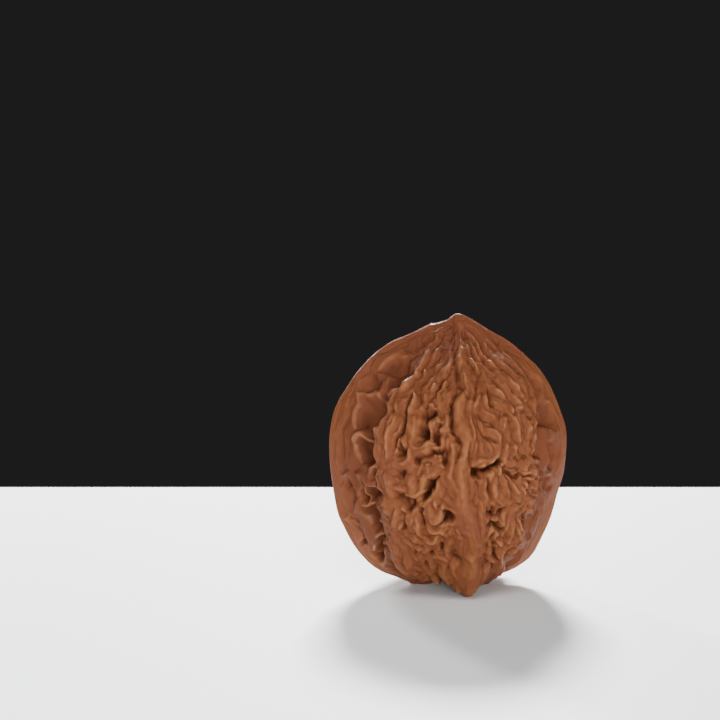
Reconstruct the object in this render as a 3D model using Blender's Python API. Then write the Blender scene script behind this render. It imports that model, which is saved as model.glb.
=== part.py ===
"""A walnut in its shell, standing on its base.

The shell grew as one piece, so it is one solid. Its body is a closed surface round a centre. The seam's rim
stands proud all round it, and a belly swells out of the front and the back. Ridges, grooves and pits raise or
sink that surface along lines drawn by eye, and the base is cut flat where it meets the ground.
"""

import math

import bmesh
import bpy
import numpy as np
from mathutils import Matrix, Vector
from mathutils.bvhtree import BVHTree

# Driving sizes, in millimetres
MM = 0.001
CENTRE_Z = 21.0
HALF_THICKNESS = 16.2
RIM_PROUD = 1.3
RIM_HALF_WIDTH = 2.4
LIP_PROUD = 0.45
LIP_HALF_WIDTH = 0.8
VALLEY_DEPTH = 0.3
VALLEY_FROM_SEAM = 7.0
VALLEY_HALF_WIDTH = 3.0
BELLY_RISE = 1.3

# How full the body is between rim and belly: 2 is an ellipse, and less is closer to a cone
FULLNESS_AT_BASE = 1.8
FULLNESS_AT_TIP = 1.65

# The slope at the belly's edge, in radians. The step up to the belly fades out towards the tip, and is gone
# where a direction's z is over the end value.
BELLY_SLOPE_ANGLE = 0.14
BELLY_STEP_ENDS = 0.98
BELLY_STEP_FADE = 0.22

# How the lines below were drawn: on a card held square to the sight line of an eye in front of the walnut.
# u runs right and v runs up from the point of the ground under the walnut's middle.
EYE_DISTANCE = 400.0
EYE_TURN = math.radians(6.0)
EYE_TILT = math.radians(9.8)
FOOT_RIGHT_OF_AXIS = 14.8
FOOT_BELOW_AXIS = 37.2

# The rim's outline (u, v), clockwise from the tip
RIM_OUTLINE = [
    (1.7, 45.1), (4.0, 44.1), (7.2, 42.1), (10.3, 40.2), (12.7, 38.1), (14.7, 36.1), (16.2, 34.1),
    (17.4, 31.9), (18.4, 29.3), (19.4, 25.9), (19.6, 22.8), (19.2, 19.2), (18.4, 16.0), (17.5, 13.0),
    (16.4, 9.9), (15.0, 7.0), (13.6, 4.8), (11.6, 3.0), (9.0, 1.6), (6.4, 0.4), (4.5, -0.1), (1.5, 0.6),
    (-1.5, 0.6), (-3.2, -0.2), (-5.4, -0.2), (-8.6, 0.9), (-11.2, 1.9), (-13.7, 3.8), (-15.8, 6.4),
    (-17.4, 9.4), (-18.7, 12.6), (-19.4, 16.4), (-19.8, 20.4), (-19.8, 24.6), (-19.3, 27.8),
    (-18.4, 30.4), (-17.2, 32.4), (-16.1, 34.2), (-14.6, 36.1), (-12.6, 38.1), (-10.0, 40.1),
    (-7.3, 41.3), (-5.2, 42.3), (-2.4, 43.7), (0.0, 44.5),
]
# The edge of the front's belly (u, v), clockwise from the top
BELLY_EDGE = [
    (1.6, 42.2), (5.6, 40.6), (8.6, 38.4), (11.6, 35.0), (13.3, 31.5), (13.4, 28.0), (13.1, 24.6),
    (13.3, 21.0), (14.0, 18.2), (13.3, 15.0), (12.4, 12.3), (11.6, 9.2), (10.5, 6.6), (9.2, 4.8),
    (8.0, 2.8), (6.2, 0.8), (3.2, -1.4), (-0.8, 0.4), (-3.0, 1.8), (-6.0, 1.8), (-8.5, 4.2), (-9.4, 8.6),
    (-10.4, 12.0), (-10.4, 15.4), (-11.9, 20.4), (-11.6, 25.0), (-10.4, 29.0), (-9.0, 31.8),
    (-6.4, 34.4), (-4.8, 37.6), (-3.2, 40.6),
]

# Ridges: crest in mm above the body, half-width in mm at 1 mm under the crest (or several, spread evenly from
# the line's first point to its last), then the line's points (u, v)
TIP_RIDGES = [
    (0.6, 0.55, (1.9, 44.3), (1.8, 42.9), (1.7, 41.7), (1.9, 40.5), (2.1, 39.5)),
    (0.3, 0.30, (0.9, 43.9), (0.5, 42.6), (0.2, 41.4), (0.1, 40.2)),
    (0.3, 0.30, (2.8, 43.9), (3.1, 42.7), (3.4, 41.4), (3.5, 40.2)),
    (0.4, 0.30, (-11.0, 38.1), (-9.0, 39.0), (-7.0, 39.8), (-5.0, 40.9), (-3.0, 42.1), (-1.2, 43.1)),
    (0.5, 0.50, (0.2, 43.6), (-0.9, 42.6), (-1.9, 41.9), (-2.5, 40.8), (-3.0, 39.8), (-3.6, 38.6),
     (-3.9, 37.2)),
    (1.0, 0.60, (-1.9, 38.2), (-2.1, 37.0), (-2.5, 35.9), (-3.1, 34.6), (-3.4, 33.2)),
    (1.2, 0.55, (0.2, 39.6), (0.4, 38.0), (0.2, 36.5), (-0.6, 35.5), (-1.4, 35.0), (-2.1, 34.3),
     (-2.5, 33.4)),
    (0.7, 0.60, (2.1, 40.0), (2.3, 39.2), (1.9, 38.0), (2.1, 36.9)),
    (0.8, 0.50, (3.3, 39.0), (3.4, 38.2), (4.1, 36.7), (4.7, 35.5), (5.1, 34.4)),
    (0.4, 0.35, (4.2, 42.6), (4.6, 41.8), (5.1, 40.8), (5.4, 39.8)),
    (0.5, 0.35, (4.9, 42.6), (5.5, 41.5), (6.0, 40.3), (6.2, 38.9), (6.7, 37.6), (7.3, 36.3),
     (7.9, 35.2)),
    (0.8, 0.60, (7.4, 38.3), (8.2, 37.4), (9.2, 36.3), (10.2, 35.3), (11.4, 34.3), (12.3, 33.0),
     (12.9, 31.6)),
    (0.4, 0.45, (8.5, 40.8), (8.4, 39.6), (8.9, 38.4)),
    (0.4, 0.45, (-5.1, 40.6), (-5.0, 39.6), (-4.7, 38.6), (-4.7, 37.4)),
    (0.4, 0.45, (-6.0, 40.2), (-5.9, 39.0), (-5.4, 37.8)),
    (0.3, 0.40, (-6.3, 39.0), (-6.9, 38.3), (-7.4, 37.8)),
]
LEFT_BELLY_RIDGES = [
    (1.3, 0.70, (-4.1, 37.2), (-4.5, 36.2), (-5.0, 34.8), (-6.2, 33.4), (-7.4, 32.3), (-8.4, 31.2)),
    (1.5, 1.05, (-7.3, 30.6), (-7.9, 29.0), (-8.6, 27.4), (-9.2, 25.8), (-9.7, 24.2), (-9.9, 22.6),
     (-9.9, 21.0)),
    (1.5, 0.95, (-9.9, 21.0), (-10.1, 19.4), (-9.9, 17.8), (-9.6, 16.4), (-9.3, 15.0)),
    (0.9, 0.55, (-8.2, 31.4), (-9.2, 29.9), (-9.8, 28.2), (-10.5, 26.2), (-11.1, 24.3), (-11.3, 22.4),
     (-11.6, 20.6)),
    (1.3, 0.55, (-6.7, 31.5), (-6.9, 30.4), (-7.3, 29.3), (-7.6, 28.2)),
    (1.5, 0.60, (-5.0, 34.3), (-5.4, 32.6), (-5.9, 31.0), (-5.8, 29.4), (-5.9, 27.8), (-6.4, 26.4),
     (-6.7, 25.0)),
    (1.5, 0.75, (-4.6, 30.9), (-4.9, 29.8), (-5.1, 28.5), (-5.4, 27.0), (-5.7, 25.4), (-5.9, 23.9),
     (-6.1, 22.8)),
    (1.2, 0.50, (-2.6, 33.3), (-3.2, 32.0), (-3.7, 30.8), (-4.1, 29.6)),
    (1.5, 0.60, (-2.3, 33.9), (-1.9, 33.0), (-2.4, 31.9), (-2.9, 30.9)),
    (1.4, 0.55, (0.2, 34.6), (-0.3, 33.6), (-0.7, 32.4), (-1.3, 31.6), (-1.8, 30.9), (-1.6, 29.9)),
    (1.5, 0.60, (-1.7, 31.0), (-1.5, 30.0), (-1.0, 29.3), (-0.8, 28.2), (-0.7, 27.0), (-0.7, 26.0),
     (-1.0, 25.0)),
    (1.5, 0.60, (-1.0, 25.0), (-1.0, 24.0), (-0.8, 23.0), (-1.2, 22.5)),
    (1.3, 0.60, (0.6, 34.2), (0.3, 33.0), (0.2, 31.8), (-0.1, 30.6), (-0.3, 29.4)),
    (1.1, 0.80, (-2.4, 27.6), (-2.3, 26.7), (-2.2, 25.8)),
    (1.5, 0.60, (-6.0, 23.2), (-5.7, 22.4), (-5.0, 22.0), (-4.2, 22.1), (-3.7, 22.8), (-3.2, 23.3),
     (-2.5, 23.2)),
    (1.3, 0.50, (-8.7, 21.6), (-8.6, 20.8), (-8.0, 20.2), (-7.1, 20.1), (-6.4, 20.6), (-6.2, 21.6),
     (-6.3, 22.6)),
    (1.4, 0.50, (-2.6, 21.3), (-2.3, 20.5), (-1.6, 19.9), (-1.0, 19.4)),
    (1.5, 0.90, (-6.4, 20.1), (-5.5, 18.9), (-5.7, 17.8), (-6.1, 17.0), (-6.0, 16.2), (-5.5, 15.6)),
    (1.3, 0.55, (-4.3, 20.4), (-4.8, 19.2), (-5.2, 18.2)),
    (1.4, 0.60, (-3.8, 19.2), (-3.6, 18.2), (-4.0, 17.1), (-4.3, 16.2)),
    (1.4, 0.55, (-3.6, 17.7), (-2.8, 17.9), (-2.1, 18.2), (-1.6, 18.5)),
    (1.4, 0.60, (-7.0, 14.9), (-6.1, 15.0), (-5.2, 15.2), (-4.4, 15.6)),
    (1.2, 0.50, (-9.3, 17.1), (-8.7, 16.3), (-7.8, 15.6), (-7.2, 16.0), (-6.6, 16.6)),
]
LOWER_LEFT_RIDGES = [
    (1.5, 0.95, (-9.3, 15.0), (-8.9, 13.8), (-8.6, 12.5), (-8.6, 11.3), (-8.8, 10.3), (-8.5, 9.4)),
    (1.5, 0.65, (-5.3, 13.2), (-5.3, 12.0), (-5.2, 11.0), (-4.9, 10.0), (-4.8, 9.0), (-4.4, 8.2)),
    (1.4, 0.75, (-2.9, 15.4), (-2.6, 14.4), (-2.2, 13.6), (-2.0, 12.9)),
    (1.3, 0.50, (-3.3, 13.6), (-3.0, 12.3), (-2.9, 11.3), (-2.6, 10.5), (-1.8, 10.8), (-1.4, 11.6),
     (-1.1, 12.6)),
    (1.2, 0.50, (-1.1, 12.6), (-0.7, 13.2), (-0.2, 13.0)),
    (1.3, 0.55, (-3.3, 10.2), (-3.2, 9.4), (-2.4, 9.1), (-1.6, 9.1), (-0.7, 8.5), (0.1, 8.9),
     (0.6, 9.6)),
    (1.1, 0.45, (-0.6, 9.9), (-0.6, 9.2)),
    (1.4, 0.70, (-4.6, 8.1), (-3.7, 7.8), (-2.9, 7.4), (-2.3, 7.9), (-2.0, 8.7)),
    (1.1, 0.45, (-0.7, 7.8), (-0.7, 6.8), (-0.5, 6.0), (-0.1, 5.2), (0.5, 4.5)),
    (1.2, 0.70, (1.7, 8.4), (1.8, 7.2), (1.5, 6.3)),
    (1.3, 0.50, (-2.5, 6.1), (-1.9, 5.4), (-1.5, 4.9), (-0.6, 4.7), (0.3, 4.2), (1.1, 4.2), (1.7, 4.9)),
    (1.2, 0.45, (-4.2, 5.6), (-4.5, 4.9), (-4.4, 4.2)),
    (1.4, 0.95, (-8.2, 8.0), (-8.3, 6.4), (-8.2, 5.0), (-7.6, 3.4), (-6.6, 2.4), (-5.2, 2.0)),
    (1.3, 0.80, (-7.2, 6.6), (-7.0, 5.2), (-6.6, 4.0), (-5.6, 3.2), (-4.6, 3.0)),
    (1.2, 0.60, (-6.0, 5.6), (-5.4, 4.8), (-4.6, 4.2)),
    (1.3, (1.0, 0.7), (-3.0, 4.6), (-2.9, 3.2), (-2.2, 1.8), (-1.2, 0.9)),
    (1.2, 0.55, (-7.8, 8.0), (-6.6, 7.3), (-5.8, 6.7), (-5.0, 6.2), (-4.2, 5.9), (-3.4, 6.3)),
    (1.5, 0.85, (-6.9, 9.8), (-6.4, 8.7), (-5.7, 8.1), (-4.9, 7.4), (-3.9, 7.0)),
    (1.2, 0.60, (-6.6, 12.0), (-6.1, 11.0), (-6.0, 9.8)),
    (1.3, 0.8, (-1.3, 4.4), (-1.2, 3.0), (-0.6, 1.8)),
    (1.1, 0.60, (-2.7, 5.0), (-2.8, 4.0), (-2.6, 3.0), (-2.0, 2.2)),
    (0.9, 0.50, (-1.7, 16.6), (-1.4, 15.6), (-1.0, 14.8)),
]
KEEL_RIDGES = [
    (1.5, 0.85, (2.2, 36.6), (2.3, 35.0), (2.1, 33.6), (2.4, 32.4), (2.8, 31.4)),
    (1.5, 0.65, (3.8, 35.2), (3.9, 33.6), (3.8, 32.2), (3.3, 30.8), (3.2, 29.2), (3.1, 27.6)),
    (1.8, (0.9, 0.9, 0.8, 1.0, 1.3, 1.4, 1.3, 1.1), (2.3, 31.2), (2.0, 30.0), (1.6, 28.6), (1.6, 27.2),
     (2.1, 25.9), (2.5, 24.6), (2.7, 23.2), (2.5, 21.8), (2.1, 20.2), (1.9, 18.4), (1.8, 16.4), (2.2, 14.2),
     (2.8, 12.0), (3.3, 10.0), (3.6, 8.0), (3.7, 6.0), (3.5, 4.0), (3.3, 2.0), (3.2, 0.4)),
    (1.4, 0.55, (3.5, 28.2), (3.5, 26.6), (3.8, 25.0), (3.7, 23.6), (3.4, 22.0)),
    (1.5, 0.70, (0.3, 24.4), (0.6, 23.2), (0.9, 22.2), (0.7, 20.8), (0.5, 19.6), (0.2, 18.6),
     (0.4, 17.4), (0.8, 16.2), (1.1, 14.8)),
    (1.4, 0.70, (5.0, 13.6), (5.2, 12.4), (5.1, 11.0), (5.2, 9.6), (5.0, 8.0), (4.9, 6.4), (4.9, 4.8)),
    (1.4, 0.60, (1.4, 9.6), (1.8, 8.2), (2.0, 7.0), (2.0, 5.6), (1.8, 4.4)),
    (1.3, 0.55, (1.2, 3.8), (1.4, 2.4), (1.5, 1.0)),
]
RIGHT_BELLY_RIDGES = [
    (1.2, 0.55, (8.0, 33.7), (9.0, 32.8), (9.9, 31.9), (10.7, 31.0), (11.3, 30.4)),
    (1.2, 0.55, (8.7, 34.6), (9.8, 33.7), (10.9, 32.7), (11.9, 31.6), (12.6, 30.5), (12.7, 29.4),
     (12.9, 28.0)),
    (1.5, 0.95, (5.8, 34.4), (6.4, 33.3), (7.2, 32.4), (8.1, 31.7), (8.8, 30.8), (9.3, 29.8),
     (9.4, 28.6)),
    (1.3, 0.50, (5.7, 33.2), (5.8, 32.2), (6.0, 31.0), (6.1, 30.0), (6.3, 29.1)),
    (1.4, 0.55, (5.3, 33.6), (5.2, 32.3), (4.9, 31.2), (4.4, 30.2), (4.1, 29.2), (3.9, 28.2)),
    (1.3, 0.55, (5.2, 30.4), (5.2, 29.2), (5.9, 28.3), (6.9, 27.9), (7.5, 27.1), (7.6, 26.2),
     (7.4, 25.3)),
    (1.5, 0.70, (9.5, 29.0), (9.4, 28.0), (8.8, 27.0), (8.7, 26.0), (8.9, 24.8)),
    (1.5, 0.80, (9.7, 29.8), (10.1, 28.4), (10.4, 27.0), (10.7, 25.8), (11.0, 24.6), (11.4, 23.4),
     (11.7, 22.2)),
    (1.3, 0.55, (11.4, 28.4), (12.0, 27.3), (12.6, 26.5), (12.8, 25.4), (12.6, 24.2)),
    (1.1, 0.35, (10.8, 28.9), (11.5, 29.1), (12.2, 29.0)),
    (1.4, 0.55, (4.5, 27.5), (5.2, 26.5), (6.0, 25.7), (7.0, 25.2), (7.6, 24.4), (8.0, 23.4), (8.2, 22.2)),
    (1.3, 0.50, (5.6, 24.4), (6.4, 23.6), (7.0, 22.8), (7.4, 21.8)),
    (1.4, 0.60, (3.7, 26.4), (4.0, 25.0), (4.2, 23.8), (4.2, 22.5), (4.1, 21.2)),
    (1.4, 0.50, (4.3, 26.2), (4.7, 25.0), (5.0, 23.8), (5.1, 22.6), (5.3, 21.4)),
    (1.4, 0.60, (5.4, 24.6), (5.9, 23.7), (6.3, 22.8), (6.6, 21.9), (6.9, 21.1)),
    (1.6, 0.60, (3.9, 19.9), (4.6, 20.0), (5.5, 20.3), (6.4, 20.6), (7.0, 21.0)),
    (1.4, 0.60, (9.6, 25.2), (9.4, 24.2), (9.2, 23.0), (9.1, 22.0), (9.6, 21.3)),
    (1.3, 0.60, (10.4, 24.6), (10.4, 23.4), (10.5, 22.4), (10.7, 21.5)),
    (1.2, 0.45, (9.4, 20.7), (9.7, 20.3), (10.1, 19.8)),
    (1.3, 0.80, (11.3, 20.5), (11.5, 19.9), (12.2, 19.4), (12.8, 19.0)),
    (1.1, 0.45, (12.6, 20.6), (13.2, 20.0), (13.8, 19.4), (14.4, 18.8)),
    (1.2, 0.35, (11.4, 18.8), (12.3, 18.6), (13.2, 18.8), (14.0, 18.6)),
    (0.9, 0.35, (12.2, 17.5), (13.4, 17.4), (14.6, 17.5), (15.2, 17.9)),
    (0.8, 0.35, (12.8, 16.1), (13.8, 16.2), (14.8, 16.3)),
    (0.9, 0.80, (12.7, 14.0), (13.3, 13.4), (14.1, 13.2)),
]
LOWER_RIGHT_RIDGES = [
    (1.3, 0.55, (5.0, 18.2), (5.3, 17.2), (5.5, 16.0), (5.7, 15.0), (6.0, 14.0), (6.2, 13.0),
     (6.3, 12.3)),
    (1.5, 0.75, (6.6, 18.6), (7.0, 17.4), (7.2, 16.2), (7.4, 15.0), (7.9, 14.1), (8.6, 13.7)),
    (1.4, 0.55, (8.3, 19.2), (8.4, 17.8), (8.7, 16.6), (9.2, 15.6), (9.9, 14.6)),
    (1.4, 0.45, (9.0, 18.4), (9.6, 17.4), (10.2, 16.5), (10.8, 15.6), (11.0, 14.6)),
    (1.3, 0.40, (10.1, 17.9), (10.8, 17.0), (11.4, 16.2), (11.8, 15.2), (12.0, 14.2)),
    (1.2, 0.40, (10.9, 18.0), (11.6, 17.2), (12.1, 16.4), (12.4, 15.5)),
    (1.4, 0.85, (8.9, 14.4), (9.7, 13.6), (9.9, 12.4), (9.9, 11.0), (9.9, 9.6), (9.8, 8.4), (9.3, 7.4)),
    (1.2, 0.45, (11.4, 14.6), (11.7, 13.6), (11.3, 12.6), (10.9, 11.6), (11.2, 10.9), (11.5, 10.2),
     (11.2, 9.4)),
    (1.1, 0.45, (10.9, 9.6), (10.8, 8.6), (10.4, 7.6), (9.8, 6.9)),
    (1.3, 0.45, (7.7, 11.6), (8.2, 10.9), (8.5, 10.2), (9.0, 9.6)),
    (1.1, 0.35, (5.7, 11.8), (6.2, 11.3), (6.2, 10.9), (5.6, 10.7)),
    (1.4, 0.50, (7.2, 8.9), (7.6, 8.0), (8.0, 7.1), (8.4, 6.4)),
    (1.4, 0.70, (5.8, 9.0), (6.1, 7.8), (6.2, 6.6), (6.4, 5.4), (6.8, 4.4), (7.3, 3.9)),
    (1.3, 0.50, (8.6, 8.0), (8.9, 6.9), (8.6, 5.9), (8.2, 5.0), (8.3, 4.2), (8.2, 3.5), (7.4, 2.9),
     (6.8, 2.4)),
    (1.2, 0.50, (7.6, 6.2), (7.8, 5.2), (7.9, 4.3)),
    (1.2, 0.55, (5.1, 5.0), (5.1, 3.8), (5.3, 2.8), (6.1, 2.2)),
    (1.2, 0.50, (5.3, 9.6), (5.4, 8.4), (5.4, 7.2), (5.5, 6.0)),
]
BAND_RIDGES = [
    (0.4, 0.50, (14.7, 35.2), (15.1, 34.0), (15.3, 32.6), (15.3, 31.2), (15.5, 30.0)),
    (0.6, 0.50, (13.9, 28.4), (15.0, 29.1), (15.9, 29.5), (16.6, 30.3)),
    (0.7, 0.45, (13.4, 27.6), (13.8, 26.6), (14.4, 25.9)),
    (0.7, 0.50, (15.0, 26.4), (15.4, 25.3), (15.6, 24.0), (15.6, 22.8), (15.8, 21.4), (15.9, 20.4),
     (15.6, 19.2)),
    (0.6, 0.45, (15.7, 25.6), (16.5, 25.1), (17.3, 25.2), (18.3, 25.1)),
    (0.5, 0.40, (16.9, 27.2), (17.2, 26.2), (17.4, 25.6)),
    (0.6, 0.45, (18.5, 22.6), (18.2, 21.4), (17.9, 20.2), (17.7, 19.0), (17.4, 18.0)),
    (0.7, 0.40, (13.4, 25.4), (13.4, 24.6), (13.7, 24.0), (14.6, 24.0)),
    (0.7, 0.45, (12.8, 23.6), (13.4, 22.8), (13.0, 21.8), (12.6, 21.0)),
    (0.6, 0.45, (13.2, 20.7), (14.4, 20.5), (15.4, 20.8)),
    (0.7, 0.45, (15.4, 18.6), (15.2, 17.6), (14.8, 16.6), (15.0, 15.4), (15.3, 14.2), (15.2, 12.8),
     (15.4, 11.4)),
    (0.6, 0.40, (15.8, 17.9), (16.8, 17.7), (17.8, 17.4)),
    (0.7, 0.35, (14.9, 12.3), (14.4, 11.5), (13.8, 11.0), (13.5, 10.3), (13.3, 9.2), (13.3, 8.2),
     (13.0, 7.2)),
    (0.7, 0.45, (12.6, 12.6), (13.4, 12.2), (14.2, 12.6)),
    (0.7, 0.35, (13.0, 6.6), (12.5, 5.8), (12.0, 5.0), (11.4, 4.3), (10.7, 3.7), (9.9, 3.3),
     (9.3, 2.7)),
    (0.8, 0.70, (11.3, 8.6), (11.6, 7.6), (11.8, 6.9), (12.6, 6.7)),
    (0.4, 0.60, (-10.9, 37.0), (-10.9, 35.4), (-10.9, 33.8), (-11.0, 32.4)),
    (0.5, 0.55, (-13.6, 35.2), (-14.1, 33.8), (-14.5, 32.4), (-14.5, 31.2), (-13.6, 30.8),
     (-12.5, 30.9), (-11.8, 31.6)),
    (0.4, 0.45, (-15.3, 34.2), (-15.2, 32.8), (-15.2, 31.6)),
    (0.6, 0.45, (-16.2, 23.3), (-15.2, 24.0), (-14.3, 24.6), (-13.5, 25.0), (-12.5, 25.1),
     (-11.4, 24.9)),
    (0.5, 0.50, (-16.1, 30.4), (-16.1, 28.8), (-15.8, 27.0), (-15.7, 25.6)),
    (0.6, 0.45, (-16.7, 26.4), (-16.9, 25.0), (-16.8, 23.8), (-16.5, 22.6), (-16.5, 21.2),
     (-16.5, 20.0), (-16.6, 18.8)),
    (0.4, 0.45, (-18.0, 23.6), (-18.3, 22.0), (-18.2, 20.4), (-17.7, 19.0)),
    (0.6, 0.40, (-17.9, 17.7), (-17.0, 18.3), (-16.2, 18.9)),
    (0.7, 0.40, (-15.7, 19.0), (-15.0, 18.3), (-14.2, 18.0), (-13.6, 17.2), (-12.8, 16.4),
     (-11.8, 16.2), (-10.9, 16.6)),
    (0.7, 0.50, (-11.8, 20.8), (-12.4, 19.6), (-13.0, 18.6), (-13.5, 17.6)),
    (0.4, 0.45, (-15.3, 17.2), (-15.3, 16.0), (-15.1, 14.8), (-14.9, 13.8)),
    (0.7, 0.40, (-14.4, 14.6), (-14.7, 13.4), (-15.0, 12.4), (-15.7, 11.6), (-16.6, 11.0),
     (-17.6, 10.9)),
    (0.7, 0.40, (-14.3, 13.0), (-13.2, 13.3), (-12.5, 13.6), (-11.8, 13.3), (-11.2, 12.8),
     (-10.7, 12.1)),
    (0.4, 0.50, (-14.6, 10.9), (-14.0, 10.0), (-13.5, 9.1), (-13.1, 8.0), (-13.0, 6.8), (-12.9, 5.6)),
    (0.7, 0.45, (-10.9, 9.6), (-11.3, 8.6), (-11.5, 7.5), (-11.8, 6.6), (-12.5, 5.6), (-12.6, 4.4)),
    (0.6, 0.35, (-10.4, 8.2), (-9.8, 7.6), (-9.4, 6.8), (-9.3, 5.9)),
    (0.5, 0.70, (-10.4, 4.8), (-10.2, 3.6), (-10.5, 2.6)),
    (0.6, 0.50, (-10.7, 14.6), (-10.4, 13.4), (-10.0, 12.2), (-9.9, 11.0)),
    (0.5, 0.50, (-17.0, 16.8), (-17.3, 15.4), (-17.0, 14.0), (-16.6, 12.6)),
]

# Pits: depth in mm, half-width in mm, then the line's points (u, v)
PITS = [
    (0.6, 1.2, (-1.2, 41.2), (-1.1, 39.2), (-0.9, 37.6), (-1.2, 36.2)),
    (0.6, 0.9, (4.3, 40.2), (4.7, 38.6), (5.3, 37.2), (6.0, 36.2), (6.7, 35.3)),
    (1.2, 1.5, (-9.0, 36.0), (-7.4, 35.8), (-6.4, 36.0), (-7.6, 34.6), (-9.2, 34.0)),
    (0.7, 0.6, (-7.4, 37.1), (-6.6, 36.8), (-6.1, 36.0)),
    (0.6, 0.8, (-12.4, 34.2), (-12.4, 33.0), (-12.3, 31.9)),
    (1.2, 0.6, (-13.4, 30.0), (-12.6, 29.9)),
    (1.2, 0.6, (-11.3, 31.2), (-10.5, 30.9)),
    (1.3, 1.7, (-13.9, 28.6), (-12.4, 28.6), (-12.4, 27.0), (-13.8, 27.0)),
    (1.5, 1.3, (-14.2, 22.9), (-13.4, 22.4), (-13.3, 21.2), (-14.2, 21.2)),
    (1.0, 0.6, (-16.7, 17.5), (-16.3, 16.2), (-16.0, 15.0), (-15.7, 13.9)),
    (1.1, 0.5, (-14.5, 17.6), (-14.2, 16.4), (-14.0, 15.2), (-13.9, 14.3)),
    (0.8, 0.7, (-12.0, 18.4), (-11.9, 17.4)),
    (1.1, 1.0, (-12.9, 15.0), (-12.1, 15.1), (-11.4, 15.3)),
    (1.7, 0.7, (-13.4, 12.6), (-12.5, 12.8), (-11.7, 12.4)),
    (1.2, 1.3, (-13.0, 11.4), (-12.0, 11.0), (-12.4, 9.8)),
    (0.8, 0.5, (-15.9, 10.8), (-15.2, 10.5)),
    (1.0, 0.6, (-14.8, 9.0), (-14.4, 8.2), (-14.1, 7.2), (-14.0, 6.6)),
    (2.0, 0.8, (-10.6, 7.4), (-10.4, 6.6), (-11.0, 6.0), (-11.6, 5.0), (-11.7, 4.2)),
    (0.9, 0.5, (-8.8, 4.8), (-8.9, 4.0), (-9.1, 3.1)),
    (1.0, 0.8, (14.3, 33.4), (14.4, 32.0), (14.5, 30.6), (14.6, 29.4)),
    (0.8, 1.0, (14.8, 27.9), (15.8, 28.1), (16.4, 28.3), (16.4, 27.0), (15.4, 27.0)),
    (1.1, 0.9, (16.8, 23.8), (17.3, 23.0), (17.0, 22.0), (16.9, 21.0), (17.1, 19.8)),
    (0.9, 0.5, (13.9, 24.9), (14.1, 24.5)),
    (0.7, 0.8, (14.2, 22.4), (14.4, 21.6), (13.6, 21.4)),
    (0.9, 0.7, (15.7, 16.8), (16.4, 17.0), (16.6, 16.0)),
    (1.2, 0.8, (12.1, 11.7), (12.3, 10.8), (12.4, 10.0)),
    (0.8, 0.5, (14.7, 11.7), (14.3, 10.9)),
    (1.7, 1.1, (9.8, 5.6), (9.7, 4.7), (10.6, 4.8), (11.5, 5.6)),
    (1.3, 0.6, (-3.2, 28.9), (-3.5, 27.8), (-4.0, 26.6), (-4.3, 25.4), (-4.0, 24.6)),
    (1.0, 0.5, (-1.6, 25.0), (-2.0, 24.2)),
    (1.2, 0.6, (-3.1, 22.3), (-3.3, 21.4), (-3.6, 20.8)),
    (1.0, 0.5, (-2.3, 22.3), (-1.5, 22.0)),
    (1.0, 0.6, (-0.5, 21.6), (-0.6, 20.9)),
    (0.8, 0.5, (-7.3, 23.0), (-7.2, 22.0), (-7.4, 21.3)),
    (0.9, 0.6, (-5.2, 21.0), (-4.4, 20.8)),
    (1.0, 0.7, (-8.4, 18.9), (-7.7, 18.5), (-7.2, 17.8)),
    (1.7, 0.5, (-1.6, 17.8), (-2.4, 17.1), (-3.1, 16.6), (-3.8, 15.9), (-4.1, 15.0), (-4.0, 14.2)),
    (1.0, 0.9, (-7.8, 14.8), (-7.3, 13.9), (-6.6, 13.5), (-6.2, 12.6)),
    (0.9, 0.6, (-7.1, 11.8), (-7.2, 10.4)),
    (2.0, 0.7, (-0.5, 11.7), (0.0, 11.1), (-0.6, 10.7), (-1.3, 10.4)),
    (0.9, 0.4, (-1.4, 8.2), (-1.4, 6.8)),
    (1.1, 0.4, (0.3, 8.3), (0.4, 7.0)),
    (1.0, 0.5, (-3.0, 6.0), (-2.7, 5.6)),
    (1.0, 0.5, (-3.7, 4.1), (-3.3, 3.6)),
    (1.5, 0.7, (4.1, 18.6), (5.2, 18.9), (6.2, 19.2), (7.0, 19.8), (7.8, 20.2), (8.6, 20.2)),
    (1.2, 0.6, (9.4, 18.9), (10.0, 18.5)),
    (1.0, 0.5, (10.8, 18.1), (12.0, 18.0), (13.2, 18.0)),
    (0.9, 0.4, (12.3, 16.8), (13.4, 16.8), (14.2, 17.0)),
    (0.9, 0.4, (12.5, 15.3), (13.6, 15.4)),
    (1.9, 0.7, (6.9, 13.1), (7.1, 12.2)),
    (1.9, 0.7, (6.2, 10.3), (7.0, 9.9), (7.7, 9.5)),
    (0.6, 0.7, (8.4, 12.5), (9.0, 12.7)),
    (1.1, 0.5, (5.6, 4.2), (5.9, 3.2), (6.0, 2.8)),
    (0.5, 0.8, (5.5, 27.1), (6.3, 26.6)),
    (0.6, 0.6, (11.0, 29.8), (11.9, 29.7)),
]

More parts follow.
